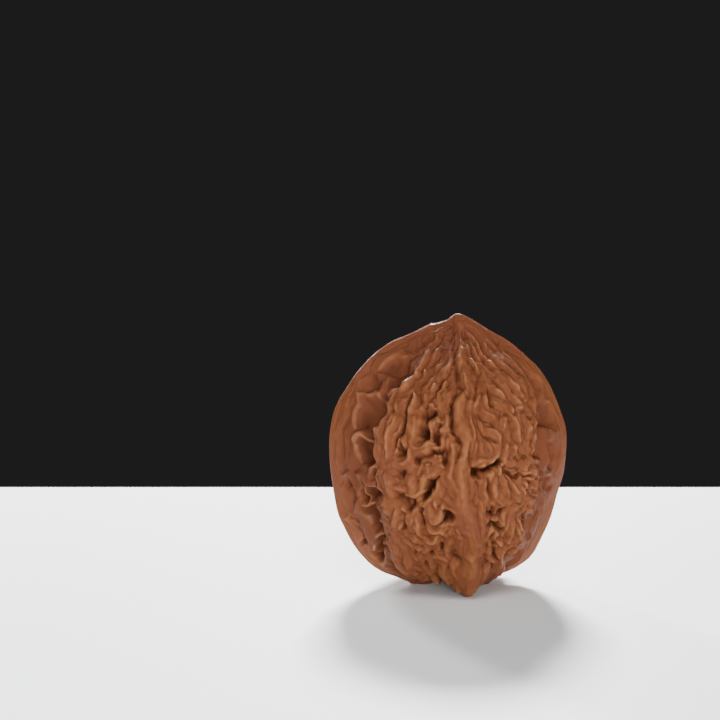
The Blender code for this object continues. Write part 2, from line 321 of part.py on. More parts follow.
# Grooves: depth in mm, half-width in mm, then the line's points (u, v)
GROOVES = [
    (1.3, 0.45, (1.1, 31.0), (0.9, 30.0), (0.5, 29.0), (0.2, 28.0), (0.2, 26.6), (0.3, 25.2),
     (0.9, 24.5), (1.8, 23.3)),
    (0.9, 0.40, (0.3, 35.4), (-0.4, 34.0), (-1.0, 33.1), (-1.5, 32.0), (-2.0, 31.1), (-2.6, 30.4)),
    (0.9, 0.40, (1.3, 35.7), (1.2, 34.4), (1.2, 33.2), (1.5, 32.3), (2.1, 31.5), (2.7, 30.7)),
    (0.7, 0.35, (3.0, 37.0), (3.8, 35.7), (4.4, 34.8), (4.6, 33.8), (4.5, 32.6), (4.3, 31.4),
     (3.8, 30.3)),
    (0.5, 0.30, (2.9, 34.2), (3.1, 33.0), (3.2, 31.8)),
    (0.6, 0.40, (0.7, 39.0), (0.8, 37.6), (0.9, 36.2)),
    (0.8, 0.35, (-4.3, 40.0), (-4.3, 39.0), (-4.3, 38.0), (-4.5, 37.4)),
    (0.6, 0.35, (-5.7, 40.0), (-5.5, 39.0), (-5.1, 38.2), (-4.9, 37.4)),
    (0.7, 0.40, (8.0, 40.4), (8.2, 38.8), (8.9, 37.6), (9.8, 36.7), (10.7, 35.7)),
    (1.0, 0.50, (6.9, 34.4), (7.8, 33.0), (8.7, 32.2), (9.5, 31.3), (10.1, 30.3), (10.7, 29.6)),
    (0.6, 0.35, (9.2, 33.2), (10.1, 32.4), (10.9, 31.7), (11.7, 30.9)),
    (1.3, 0.50, (-6.2, 31.0), (-6.4, 29.6), (-6.6, 28.0), (-7.1, 26.4), (-7.7, 24.6), (-8.5, 23.2),
     (-8.8, 21.4)),
    (0.5, 0.30, (-8.6, 30.2), (-9.0, 29.0), (-9.4, 27.6)),
    (1.1, 0.50, (6.4, 32.0), (6.7, 30.8), (6.9, 29.6)),
    (0.9, 0.35, (4.2, 26.8), (4.7, 25.7), (5.4, 24.9), (6.1, 24.2), (6.8, 23.5), (7.3, 23.0)),
    (0.7, 0.30, (3.7, 27.0), (4.0, 26.0), (4.2, 25.0), (4.5, 24.0), (4.8, 23.0)),
    (1.2, 0.50, (10.7, 28.4), (10.9, 27.2), (11.3, 25.9), (11.6, 25.1)),
    (0.8, 0.35, (7.8, 18.2), (7.9, 17.0), (8.3, 15.9)),
    (0.9, 0.45, (6.1, 17.4), (6.4, 15.6), (6.6, 14.4)),
    (1.1, 0.45, (6.6, 8.5), (6.9, 7.2), (7.0, 6.3), (7.3, 5.3), (7.6, 4.5)),
    (1.1, 0.45, (-4.3, 12.8), (-4.2, 11.6), (-4.1, 10.2)),
    (0.8, 0.35, (-4.2, 19.6), (-4.5, 18.2), (-4.8, 17.0)),
    (0.7, 0.35, (2.0, 23.0), (1.9, 22.0), (1.5, 21.0), (1.2, 20.2)),
    (0.7, 0.35, (3.2, 23.0), (3.3, 21.5), (3.4, 20.3), (3.6, 19.2)),
    (0.9, 0.50, (0.5, 3.7), (0.4, 2.4), (0.3, 1.2)),
    (0.5, 0.35, (-16.3, 28.4), (-16.3, 27.0), (-16.1, 25.6)),
    (0.5, 0.35, (-17.4, 24.4), (-17.5, 23.0), (-17.4, 21.8)),
]

# The front's foot, in the walnut's own frame: half-width, then the crest's points (x, y, z)
FEET = [
    ((1.2, 1.2, 0.9), (2.8, -15.4, 7.4), (3.0, -13.4, 4.6), (3.1, -11.9, 2.7), (3.1, -10.8, 1.2),
     (3.1, -9.8, 0.0), (3.2, -8.6, -0.7)),
    ((1.0, 0.8), (0.6, -13.4, 5.6), (1.0, -11.9, 3.4), (1.6, -10.6, 1.7), (2.2, -9.4, 0.5)),
    ((1.0, 0.7), (-1.4, -13.0, 5.6), (-1.2, -12.0, 4.0), (-0.8, -10.6, 2.5)),
    ((0.9, 0.7), (5.2, -12.8, 4.8), (4.9, -11.4, 2.8), (4.5, -10.0, 1.3)),
]

# Relief, in millimetres: the floor between ridges, and how pits, crests and their ends are shaped
BELLY_FLOOR = 0.62
BAND_FLOOR = 0.15
BAND_SHARE_OF_RELIEF = 0.60
PIT_GAIN = 1.5
PIT_ROUNDNESS = 0.40
PIT_EDGE = 1.45
PIT_SLOPE = 1.2
CREST_POWER = 1.7
STEEPER_SIDES = 2.5
WIDEN = 1.25
RIDGE_REACH = 3.0
TAPER_LENGTH = 2.6
MOST_TAPER = 0.48
END_WIDTH_SHARE = 0.65
END_HEIGHT_SHARE = 0.60
FILLET = 0.25

# How softly ridges merge. Calm ridges are the smooth keel and the foot, and they merge more softly.
MERGE = 0.15
CALM_MERGE = 0.45

# How far lines wander and heights vary, in millimetres and as a share, and over what length
WANDER = 0.14
WANDER_LENGTH = 3.6
KNOB_SHARE = 0.10
KNOB_LENGTH = 2.6
SMOOTH_TIP_Z = 44.0
SMOOTH_TIP_FADE = 11.0
TIP_SHARE_OF_RELIEF = 0.25
BACK_WANDER = 1.1
BACK_WANDER_LENGTH = 13.0
RANDOM_SEED = 11

NET_FACES_PER_EDGE = 96
COARSE_FACES_PER_EDGE = 40
ROUNDING_PASSES = 3
TRIANGLES = 10800


def sight_frame():
    """The eye's place and its forward, right and up directions, in millimetres."""
    forward = Vector((
        math.sin(EYE_TURN) * math.cos(EYE_TILT),
        math.cos(EYE_TURN) * math.cos(EYE_TILT),
        -math.sin(EYE_TILT),
    ))
    right = Vector((math.cos(EYE_TURN), -math.sin(EYE_TURN), 0.0))
    up = right.cross(forward)
    eye = -(EYE_DISTANCE * forward + FOOT_RIGHT_OF_AXIS * right - FOOT_BELOW_AXIS * up)
    return eye, forward, right, up


EYE, FORWARD, RIGHT, UP = sight_frame()
CENTRE = np.array([0.0, 0.0, CENTRE_Z])


def sight_line(u, v):
    """The direction from the eye through the card's point (u, v)."""
    across = FOOT_RIGHT_OF_AXIS + u
    above = v - FOOT_BELOW_AXIS
    return (EYE_DISTANCE * FORWARD + across * RIGHT + above * UP).normalized()


def ball(faces_per_edge):
    """A cube cut into a grid and blown up to a ball: an even net of quads with no poles."""
    mesh = bmesh.new()
    bmesh.ops.create_cube(mesh, size=2.0)
    bmesh.ops.subdivide_edges(mesh, edges=mesh.edges[:], cuts=faces_per_edge - 1, use_grid_fill=True)
    for vertex in mesh.verts:
        even = Vector([math.tan(c * math.pi / 4) for c in vertex.co])
        vertex.co = even.normalized()
    return mesh


def directions_of(mesh):
    return np.array([vertex.co for vertex in mesh.verts], float)


def set_points(mesh, points):
    for vertex, point in zip(mesh.verts, points):
        vertex.co = point


def closed_curve(points, steps=12):
    """Many places on a smooth closed curve through the points."""
    here = np.array(points, float)
    before, after, beyond = np.roll(here, 1, 0), np.roll(here, -1, 0), np.roll(here, -2, 0)
    places = []
    for t in np.arange(steps) / steps:
        places.append(0.5 * (
            2 * here + (after - before) * t
            + (2 * before - 5 * here + 4 * after - beyond) * t**2
            + (3 * here - before - 3 * after + beyond) * t**3
        ))
    return np.stack(places, axis=1).reshape(-1, 2)


def rim_table():
    """Angle from the upright and radius of the rim, carried from the card to the seam's plane."""
    places = []
    for u, v in RIM_OUTLINE:
        line = sight_line(u, v)
        hit = EYE - line * (EYE.y / line.y)
        places.append((hit.x, hit.z - CENTRE_Z))
    curve = closed_curve(places)
    angle = np.arctan2(curve[:, 0], curve[:, 1])
    order = np.argsort(angle)
    return angle[order], np.hypot(*curve.T)[order]


RIM_ANGLES, RIM_RADII = rim_table()


def smooth_step(value):
    share = np.clip(value, 0, 1)
    return share * share * (3 - 2 * share)


def angles_of(directions):
    """Each direction's angle round the seam, seen from its own side, and its angle out of that plane."""
    x, y, z = directions.T
    return np.arctan2(np.where(y > 0, -x, x), z), np.arcsin(np.clip(np.abs(y), 0, 1))


def plain_body(directions):
    """Radius of the body without its belly: fuller at the base, and drawn to a point at the tip."""
    x, y, z = directions.T
    round_seam = np.arctan2(x, z)
    out = np.abs(y)
    in_plane = np.sqrt(1 - out**2)
    tip_share = np.clip(np.cos(round_seam), 0, 1) ** 2
    power = FULLNESS_AT_BASE + (FULLNESS_AT_TIP - FULLNESS_AT_BASE) * tip_share
    rim = np.interp(round_seam, RIM_ANGLES, RIM_RADII, period=2 * math.pi) - RIM_PROUD - LIP_PROUD
    radius = ((in_plane / rim) ** power + (out / HALF_THICKNESS) ** power) ** (-1 / power)
    from_seam = radius * out
    radius += RIM_PROUD * np.exp(-((from_seam / RIM_HALF_WIDTH) ** 2))
    radius += LIP_PROUD * np.exp(-((from_seam / LIP_HALF_WIDTH) ** 2))
    across_valley = (radius * out - VALLEY_FROM_SEAM) / VALLEY_HALF_WIDTH
    return radius - VALLEY_DEPTH * (1 - tip_share) * np.exp(-(across_valley**2))


def belly_table():
    """The belly's edge as angles: round the seam, and out of its plane."""
    net = ball(COARSE_FACES_PER_EDGE)
    directions = directions_of(net)
    set_points(net, directions * plain_body(directions)[:, None] + CENTRE)
    body = BVHTree.FromBMesh(net)
    hits = [body.ray_cast(EYE, sight_line(u, v))[0] for u, v in BELLY_EDGE]
    rays = np.array([tuple(hit) for hit in hits if hit is not None]) - CENTRE
    turned, out = angles_of(rays / np.linalg.norm(rays, axis=1)[:, None])
    order = np.argsort(turned)
    return turned[order], out[order]


def belly_share(directions):
    """1 on the belly, 0 on the band beside the rim, and a smooth slope between them."""
    turned, out = angles_of(directions)
    edge = np.interp(turned, *BELLY_TABLE, period=2 * math.pi)
    return smooth_step((out - edge) / BELLY_SLOPE_ANGLE + 0.5)


def body_points(directions):
    """The body's surface in these unit directions from its centre. The belly's step fades out at the tip."""
    below_tip = smooth_step((BELLY_STEP_ENDS - directions[:, 2]) / BELLY_STEP_FADE)
    radius = plain_body(directions) + BELLY_RISE * belly_share(directions) * below_tip
    return directions * radius[:, None] + CENTRE


def onto_body(points):
    """The points moved along their rays from the centre to the body's surface."""
    rays = points - CENTRE
    return body_points(rays / np.linalg.norm(rays, axis=1)[:, None])


BELLY_TABLE = belly_table()


def shake(points, wavelength, seed, waves=14):
    """A smooth random field of three numbers at each point, about 1 in size."""
    rng = np.random.default_rng(seed)
    heading = rng.normal(size=(waves, 3))
    heading *= (2 * math.pi / wavelength) / np.linalg.norm(heading, axis=1)[:, None]
    phase = rng.uniform(0, 2 * math.pi, size=(waves, 3))
    field = np.zeros((len(points), 3))
    for wave, shift in zip(heading, phase):
        field += np.sin((points @ wave)[:, None] + shift)
    return field * math.sqrt(2 / waves)


def smooth_line(points):
    """Twice as many points, on a smooth curve through the first ones."""
    if len(points) < 3:
        return points
    ends = np.vstack([2 * points[0] - points[1], points, 2 * points[-1] - points[-2]])
    middles = (9 * (ends[1:-2] + ends[2:-1]) - ends[:-3] - ends[3:]) / 16
    out = np.empty((2 * len(points) - 1, 3))
    out[::2] = points
    out[1::2] = middles
    return out


def cast_lines(lines, body, calm=0.0):
    """The front's lines, each carried from the card to the body. A calm line gets no knobs."""
    cast = []
    for size, width, *marks in lines:
        hits = [body.ray_cast(EYE, sight_line(u, v))[0] for u, v in marks]
        found = np.array([tuple(hit) for hit in hits if hit is not None])
        if len(found) > 1:
            cast.append((size, width, calm, onto_body(smooth_line(smooth_line(found)))))
    return cast


def foot_lines():
    """The foot's lines on the body, each raised as far as its crest stands off the body."""
    lines = []
    for width, *crest in FEET:
        crest = smooth_line(smooth_line(np.array(crest)))
        foot = onto_body(crest)
        lines.append((np.linalg.norm(crest - foot, axis=1), width, 1.0, foot))
    return lines


def with_back(lines):
    """The lines and the back's: the front's, turned half round and shaken so that no two are alike."""
    turned = []
    for size, width, calm, points in lines:
        moved = points * np.array([-1.0, -1.0, 1.0])
        moved = moved + BACK_WANDER * shake(moved, BACK_WANDER_LENGTH, RANDOM_SEED)
        turned.append((size, width, calm, onto_body(moved)))
    return lines + turned


def nearest_on_line(points, line):
    """Each point's distance to a chain of straight pieces, its place along it, and the chain's length."""
    nearest = np.full(len(points), np.inf)
    place = np.zeros(len(points))
    walked = 0.0
    for start, end in zip(line[:-1], line[1:]):
        along = end - start
        length = math.sqrt(along @ along) + 1e-9
        share = np.clip((points - start) @ along / length**2, 0, 1)
        away = np.linalg.norm(points - start - share[:, None] * along, axis=1)
        closer = away < nearest
        nearest[closer] = away[closer]
        place[closer] = walked + share[closer] * length
        walked += length
    return nearest, place, walked


def rounded_distance(points, line, roundness):
    """Each point's distance to a chain, blended over all of it so that no crease is left where it bends."""
    away = np.linalg.norm(points[:, None] - line, axis=2)
    spacing = np.linalg.norm(line[1:] - line[:-1], axis=1).mean()
    total = np.exp(-away / roundness).sum(axis=1) * spacing / (2 * roundness)
    return -roundness * np.log(total + 1e-12)


def near(points, line, reach):
    """Which points lie within reach of the line's own box."""
    low, high = line.min(0) - reach, line.max(0) + reach
    return np.nonzero(((points > low) & (points < high)).all(axis=1))[0]


def spread_along(values, share):
    """One value, or several evenly spread along a line, read at these shares of its length."""
    return np.interp(share, np.linspace(0, 1, np.size(values)), np.atleast_1d(values))


def sunk_floor(floor, places, pits):
    """The floor with its pits pressed in."""
    for depth, width, _, line in pits:
        found = near(places, line, PIT_EDGE * width)
        away = rounded_distance(places[found], line, PIT_ROUNDNESS * width) / width
        pressed = -PIT_GAIN * depth * smooth_step((PIT_EDGE - away) / PIT_SLOPE)
        floor[found] += np.minimum(pressed - np.minimum(floor[found], 0), 0)
    return floor


def ridge_crests(places, gain, calm_gain, ridges):
    """How high the highest ridge stands at each point, in millimetres."""
    crest = np.full(len(places), -4.0)
    for height, width, calm, line in ridges:
        widest = WIDEN * np.max(width)
        found = near(places, line, RIDGE_REACH * widest)
        away, place, length = nearest_on_line(places[found], line)
        to_end = np.minimum(place, length - place)
        taper = smooth_step(to_end / min(TAPER_LENGTH * widest, MOST_TAPER * length))
        wide = WIDEN * spread_along(width, place / length) * (END_WIDTH_SHARE + (1 - END_WIDTH_SHARE) * taper)
        across = away / wide
        flank = across**CREST_POWER + STEEPER_SIDES * np.maximum(across - 1, 0) ** 1.5
        lift = gain[found] * (1 - calm) + calm_gain[found] * calm
        lift *= 1 - (1 - END_HEIGHT_SHARE) * (1 - taper) * (1 - calm)
        top = spread_along(height, place / length) * lift - flank
        merge = MERGE + (CALM_MERGE - MERGE) * calm
        mix = np.clip(0.5 + 0.5 * (top - crest[found]) / merge, 0, 1)
        crest[found] += (top - crest[found]) * mix + merge * mix * (1 - mix)
    return crest


def relief(base, belly, ridges, pits, grooves):
    """How far each point of the body is raised, in millimetres."""
    places = base + WANDER * shake(base, WANDER_LENGTH, RANDOM_SEED + 1)
    knobs = 1 + KNOB_SHARE * shake(base, KNOB_LENGTH, RANDOM_SEED + 2)[:, 0]
    below_tip = smooth_step((SMOOTH_TIP_Z - base[:, 2]) / SMOOTH_TIP_FADE)
    low_near_tip = TIP_SHARE_OF_RELIEF + (1 - TIP_SHARE_OF_RELIEF) * below_tip
    floor = sunk_floor((BAND_FLOOR + (BELLY_FLOOR - BAND_FLOOR) * belly) * low_near_tip, places, pits)
    gain = low_near_tip * (BAND_SHARE_OF_RELIEF + (1 - BAND_SHARE_OF_RELIEF) * belly)
    crest = ridge_crests(places, gain * knobs, gain, ridges)
    # A soft maximum, so that a ridge runs into the floor in a small fillet
    mix = np.clip(0.5 + 0.5 * (crest - floor) / FILLET, 0, 1)
    height = floor + (crest - floor) * mix + FILLET * mix * (1 - mix)
    cut = np.zeros(len(base))
    for depth, width, _, line in grooves:
        found = near(places, line, width)
        away = nearest_on_line(places[found], line)[0] / width
        cut[found] = np.maximum(cut[found], depth * np.clip(1 - away, 0, 1) ** 1.3)
    return height - cut * low_near_tip


def rounded(values, mesh):
    """The values evened out between neighbours, which rounds what is too sharp for the net."""
    ends = np.array([(edge.verts[0].index, edge.verts[1].index) for edge in mesh.edges])
    count = np.bincount(ends.ravel(), minlength=len(values))
    for _ in range(ROUNDING_PASSES):
        total = np.bincount(ends[:, 0], values[ends[:, 1]], len(values))
        total += np.bincount(ends[:, 1], values[ends[:, 0]], len(values))
        values = 0.5 * values + 0.5 * total / count
    return values


def shell_mesh():
    """The whole shell, still with more faces than it needs."""
    mesh = ball(NET_FACES_PER_EDGE)
    directions = directions_of(mesh)
    base = body_points(directions)
    set_points(mesh, base)
    body = BVHTree.FromBMesh(mesh)
    drawn_ridges = (
        TIP_RIDGES + LEFT_BELLY_RIDGES + LOWER_LEFT_RIDGES
        + RIGHT_BELLY_RIDGES + LOWER_RIGHT_RIDGES + BAND_RIDGES
    )
    ridges = cast_lines(drawn_ridges, body) + cast_lines(KEEL_RIDGES, body, calm=1.0) + foot_lines()
    pits = with_back(cast_lines(PITS, body))
    grooves = with_back(cast_lines(GROOVES, body))
    raised = relief(base, belly_share(directions), with_back(ridges), pits, grooves)
    raised = rounded(raised, mesh)
    set_points(mesh, (base + directions * raised[:, None]) * MM)
    return mesh


def thin_out(obj, triangles):
    """Fewer faces, kept where the surface bends most."""
    modifier = obj.modifiers.new("fewer faces", "DECIMATE")
    modifier.ratio = triangles / (2 * len(obj.data.polygons))
    graph = bpy.context.evaluated_depsgraph_get()
    obj.data = bpy.data.meshes.new_from_object(obj.evaluated_get(graph))
    obj.modifiers.clear()


def centre_on_box(obj):
    """The mesh moved level, so that the middle of its box is over the origin."""
    corners = np.array([tuple(vertex.co) for vertex in obj.data.vertices])
    middle = (corners.min(0) + corners.max(0)) / 2
    obj.data.transform(Matrix.Translation((-middle[0], -middle[1], 0.0)))


def flatten_base(obj):
    """The shell cut off level at the ground, which leaves flat spots under the rim and the feet."""
    mesh = bmesh.new()
    mesh.from_mesh(obj.data)
    everything = mesh.verts[:] + mesh.edges[:] + mesh.faces[:]
    bmesh.ops.bisect_plane(
        mesh, geom=everything, dist=1e-7, plane_co=(0, 0, 0), plane_no=(0, 0, 1), clear_inner=True
    )
    rims = [edge for edge in mesh.edges if edge.is_boundary]
    bmesh.ops.holes_fill(mesh, edges=rims, sides=0)
    bmesh.ops.triangulate(mesh, faces=mesh.faces[:])
    bmesh.ops.recalc_face_normals(mesh, faces=mesh.faces[:])
    mesh.to_mesh(obj.data)
    mesh.free()


def shell_material():
    """Shell polished by handling: red-brown, with a low wax-like gloss."""
    material = bpy.data.materials.new("polished shell")
    material.use_nodes = True
    shader = material.node_tree.nodes["Principled BSDF"]
    shader.inputs["Base Color"].default_value = (0.30, 0.105, 0.038, 1.0)
    shader.inputs["Roughness"].default_value = 0.38
    shader.inputs["Metallic"].default_value = 0.0
    return material


def main():
    for old in list(bpy.data.objects):
        bpy.data.objects.remove(old, do_unlink=True)
    mesh = shell_mesh()
    data = bpy.data.meshes.new("walnut")
    mesh.to_mesh(data)
    mesh.free()
    walnut = bpy.data.objects.new("walnut", data)
    bpy.context.scene.collection.objects.link(walnut)
    thin_out(walnut, TRIANGLES)
    flatten_base(walnut)
    centre_on_box(walnut)
    walnut.data.materials.clear()
    walnut.data.materials.append(shell_material())
    walnut.data.shade_smooth()


main()
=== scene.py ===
# %% [markdown]
# # A walnut in its shell
#
# This script dresses one walnut for a portrait. The shell is a single closed surface: two halves that
# grew together along a proud rim, with a belly of folds on the front and on the back. It has been
# polished by handling for months, so the wood has a low, wax-like gloss and a red-brown colour that
# darkens in the hollows.
#
# The fixed frame comes first. It holds the plain solid of the walnut, at its real size and in its real
# place.

# %% The frame
import math

import bpy
import numpy as np
from mathutils import Matrix, Vector
from mathutils.bvhtree import BVHTree
from mathutils.kdtree import KDTree


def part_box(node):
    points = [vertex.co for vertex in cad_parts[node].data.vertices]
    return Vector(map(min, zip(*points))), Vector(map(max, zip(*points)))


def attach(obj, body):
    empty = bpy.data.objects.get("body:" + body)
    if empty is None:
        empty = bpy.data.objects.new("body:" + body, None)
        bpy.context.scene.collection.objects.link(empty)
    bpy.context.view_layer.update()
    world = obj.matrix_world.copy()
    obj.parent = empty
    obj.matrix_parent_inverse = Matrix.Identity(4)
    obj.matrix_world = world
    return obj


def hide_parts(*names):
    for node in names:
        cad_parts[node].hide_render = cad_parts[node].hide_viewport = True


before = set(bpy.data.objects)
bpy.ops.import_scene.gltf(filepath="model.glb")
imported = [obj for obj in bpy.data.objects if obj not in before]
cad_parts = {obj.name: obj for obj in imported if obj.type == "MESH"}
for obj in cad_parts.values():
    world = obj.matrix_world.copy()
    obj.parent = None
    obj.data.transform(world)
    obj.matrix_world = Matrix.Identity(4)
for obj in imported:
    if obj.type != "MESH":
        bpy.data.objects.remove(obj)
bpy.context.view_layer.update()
MM = 0.001

# %% [markdown]
# ## Where the eye is
#
# The folds of the shell are drawn as lines on a card that is held square to the sight line. So the eye's
# place has to be known before anything is drawn, and the camera goes to the same place. On the card, u runs
# right and v runs up, both in millimetres, from the point of the floor under the walnut's middle. The eye
# is 40 cm away and looks down a little, and the walnut is turned a few degrees.

# %% The eye and the card
EYE_DISTANCE = 400.0
EYE_TURN = math.radians(6.0)
EYE_TILT = math.radians(9.8)
FOOT_RIGHT_OF_AXIS = 14.8
FOOT_BELOW_AXIS = 37.2

FORWARD = Vector((
    math.sin(EYE_TURN) * math.cos(EYE_TILT),
    math.cos(EYE_TURN) * math.cos(EYE_TILT),
    -math.sin(EYE_TILT),
))
RIGHT = Vector((math.cos(EYE_TURN), -math.sin(EYE_TURN), 0.0))
UP = RIGHT.cross(FORWARD)
EYE = -(EYE_DISTANCE * FORWARD + FOOT_RIGHT_OF_AXIS * RIGHT - FOOT_BELOW_AXIS * UP)


def sight_line(u, v):
    """The direction from the eye through the card's point (u, v)."""
    across = FOOT_RIGHT_OF_AXIS + u
    above = v - FOOT_BELOW_AXIS
    return (EYE_DISTANCE * FORWARD + across * RIGHT + above * UP).normalized()


print("eye at", [round(c, 1) for c in EYE], "mm")

# %% [markdown]
# ## A net with no poles
#
# The surface is star-shaped: every point of it can be seen from the middle. So it can start as a ball
# whose points are then pushed in and out. A globe's net crowds its points at two poles. A cube that is
# cut into a grid and blown up to a ball spreads them evenly, which suits folds that run everywhere.

# %% Cube blown up to a ball
def ball_net(cells):
    """Unit directions and quads of a cube's grid blown up to a ball."""
    line = np.arange(cells + 1)
    across, along = [part.ravel() for part in np.meshgrid(line, line, indexing="ij")]
    grid = []
    quads = []
    cell_a, cell_b = [part.ravel() for part in np.meshgrid(line[:-1], line[:-1], indexing="ij")]
    corner = cell_a * (cells + 1) + cell_b
    step = cells + 1
    for axis in range(3):
        for side in (0, cells):
            sheet = np.empty((len(across), 3), int)
            sheet[:, axis] = side
            sheet[:, (axis + 1) % 3] = across
            sheet[:, (axis + 2) % 3] = along
            loop = [corner, corner + step, corner + step + 1, corner + 1]
            if side == 0:
                loop = loop[::-1]
            quads.append(np.stack(loop, axis=1) + len(grid) * len(across))
            grid.append(sheet)
    grid = np.vstack(grid)
    key = (grid[:, 0] * step + grid[:, 1]) * step + grid[:, 2]
    _, first, index = np.unique(key, return_index=True, return_inverse=True)
    flat = np.tan((grid[first] * 2 / cells - 1) * math.pi / 4)
    directions = flat / np.linalg.norm(flat, axis=1)[:, None]
    return directions, index.ravel()[np.vstack(quads)]


def mesh_of(name, points, quads):
    """A mesh of these points and quads."""
    mesh = bpy.data.meshes.new(name)
    mesh.vertices.add(len(points))
    mesh.vertices.foreach_set("co", np.ascontiguousarray(points, np.float32).ravel())
    mesh.loops.add(quads.size)
    mesh.loops.foreach_set("vertex_index", quads.ravel().astype(np.int32))
    mesh.polygons.add(len(quads))
    mesh.polygons.foreach_set("loop_start", np.arange(0, quads.size, 4, dtype=np.int32))
    mesh.update(calc_edges=True)
    mesh.validate()
    return mesh


coarse_directions, coarse_quads = ball_net(40)
print("coarse net:", len(coarse_directions), "points,", len(coarse_quads), "quads")

# %% [markdown]
# ## The body under the folds
#
# Seen from the front, the rim is a nearly round outline with a point at the top. Seen from the side, the
# belly is thick and low. A body with that plan can be made by turning, lofting or sculpting. Here a
# formula gives the radius in every direction: a fuller or leaner ellipse between the rim and the belly, a
# proud rim along the seam, a shallow valley beside it, and a step up where the belly starts. A formula
# stays editable, and the rim's outline and the belly's edge are the only lists of points that it needs.

# %% Rim, belly and their sizes
CENTRE_Z = 21.0
CENTRE = np.array([0.0, 0.0, CENTRE_Z])
HALF_THICKNESS = 16.2
RIM_PROUD = 1.3
RIM_HALF_WIDTH = 2.4
LIP_PROUD = 0.45
LIP_HALF_WIDTH = 0.8
SEAM_DEPTH = 0.30
SEAM_HALF_WIDTH = 0.28
VALLEY_DEPTH = 0.3
VALLEY_FROM_SEAM = 7.0
VALLEY_HALF_WIDTH = 3.0
BELLY_RISE = 1.3
BELLY_SLOPE_ANGLE = 0.22
BELLY_STEP_ENDS = 0.98
BELLY_STEP_FADE = 0.40
FULLNESS_AT_BASE = 1.8
FULLNESS_AT_TIP = 1.65
print("belly is", HALF_THICKNESS + BELLY_RISE, "mm deep before its folds")

# %% Outlines drawn on the card
# The rim's outline (u, v), clockwise from the tip
RIM_OUTLINE = [
    (1.7, 45.1), (4.0, 44.1), (7.2, 42.1), (10.3, 40.2), (12.7, 38.1), (14.7, 36.1), (16.2, 34.1),
    (17.4, 31.9), (18.4, 29.3), (19.4, 25.9), (19.6, 22.8), (19.2, 19.2), (18.4, 16.0), (17.5, 13.0),
    (16.4, 9.9), (15.0, 7.0), (13.6, 4.8), (11.6, 3.0), (9.0, 1.6), (6.4, 0.4), (4.5, -0.1), (1.5, 0.6),
    (-1.5, 0.6), (-3.2, -0.2), (-5.4, -0.2), (-8.6, 0.9), (-11.2, 1.9), (-13.7, 3.8), (-15.8, 6.4),
    (-17.4, 9.4), (-18.7, 12.6), (-19.4, 16.4), (-19.8, 20.4), (-19.8, 24.6), (-19.3, 27.8),
    (-18.4, 30.4), (-17.2, 32.4), (-16.1, 34.2), (-14.6, 36.1), (-12.6, 38.1), (-10.0, 40.1),
    (-7.3, 41.3), (-5.2, 42.3), (-2.4, 43.7), (0.0, 44.5),
]

# The edge of the front's belly (u, v), clockwise from the top
BELLY_EDGE = [
    (1.6, 42.2), (5.6, 40.6), (8.6, 38.4), (11.6, 35.0), (13.3, 31.5), (13.4, 28.0), (13.1, 24.6),
    (13.3, 21.0), (14.0, 18.2), (13.3, 15.0), (12.4, 12.3), (11.6, 9.2), (10.5, 6.6), (9.2, 4.8),
    (8.0, 2.8), (6.2, 0.8), (3.2, -1.4), (-0.8, 0.4), (-3.0, 1.8), (-6.0, 1.8), (-8.5, 4.2), (-9.4, 8.6),
    (-10.4, 12.0), (-10.4, 15.4), (-11.9, 20.4), (-11.6, 25.0), (-10.4, 29.0), (-9.0, 31.8), (-6.4, 34.4),
    (-4.8, 37.6), (-3.2, 40.6),
]
print(len(RIM_OUTLINE), "points on the rim and", len(BELLY_EDGE), "on the belly's edge")


# %% The rim as angles and radii
def smooth_step(value):
    share = np.clip(value, 0, 1)
    return share * share * (3 - 2 * share)


def closed_curve(points, steps=12):
    """Many places on a smooth closed curve through the points."""
    here = np.array(points, float)
    before, after, beyond = np.roll(here, 1, 0), np.roll(here, -1, 0), np.roll(here, -2, 0)
    places = []
    for t in np.arange(steps) / steps:
        places.append(0.5 * (
            2 * here + (after - before) * t
            + (2 * before - 5 * here + 4 * after - beyond) * t**2
            + (3 * here - before - 3 * after + beyond) * t**3
        ))
    return np.stack(places, axis=1).reshape(-1, 2)


def rim_table():
    """Angle from the upright and radius of the rim, carried from the card to the seam's plane."""
    places = []
    for u, v in RIM_OUTLINE:
        line = sight_line(u, v)
        hit = EYE - line * (EYE.y / line.y)
        places.append((hit.x, hit.z - CENTRE_Z))
    curve = closed_curve(places)
    angle = np.arctan2(curve[:, 0], curve[:, 1])
    order = np.argsort(angle)
    return angle[order], np.hypot(*curve.T)[order]


RIM_ANGLES, RIM_RADII = rim_table()
print("rim's radius:", round(RIM_RADII.min(), 1), "to", round(RIM_RADII.max(), 1), "mm")


# %% The body's radius
def plain_body(directions):
    """Radius of the body without its belly: fuller at the base, and drawn to a point at the tip."""
    x, y, z = directions.T
    round_seam = np.arctan2(x, z)
    out = np.abs(y)
    in_plane = np.sqrt(1 - out**2)
    tip_share = np.clip(np.cos(round_seam), 0, 1) ** 2
    power = FULLNESS_AT_BASE + (FULLNESS_AT_TIP - FULLNESS_AT_BASE) * tip_share
    rim = np.interp(round_seam, RIM_ANGLES, RIM_RADII, period=2 * math.pi) - RIM_PROUD - LIP_PROUD
    radius = ((in_plane / rim) ** power + (out / HALF_THICKNESS) ** power) ** (-1 / power)
    from_seam = radius * out
    radius += RIM_PROUD * np.exp(-((from_seam / RIM_HALF_WIDTH) ** 2))
    radius += LIP_PROUD * np.exp(-((from_seam / LIP_HALF_WIDTH) ** 2))
    across_valley = (radius * out - VALLEY_FROM_SEAM) / VALLEY_HALF_WIDTH
    return radius - VALLEY_DEPTH * (1 - tip_share) * np.exp(-(across_valley**2))


def angles_of(directions):
    """Each direction's angle round the seam, seen from its own side, and its angle out of that plane."""
    x, y, z = directions.T
    return np.arctan2(np.where(y > 0, -x, x), z), np.arcsin(np.clip(np.abs(y), 0, 1))


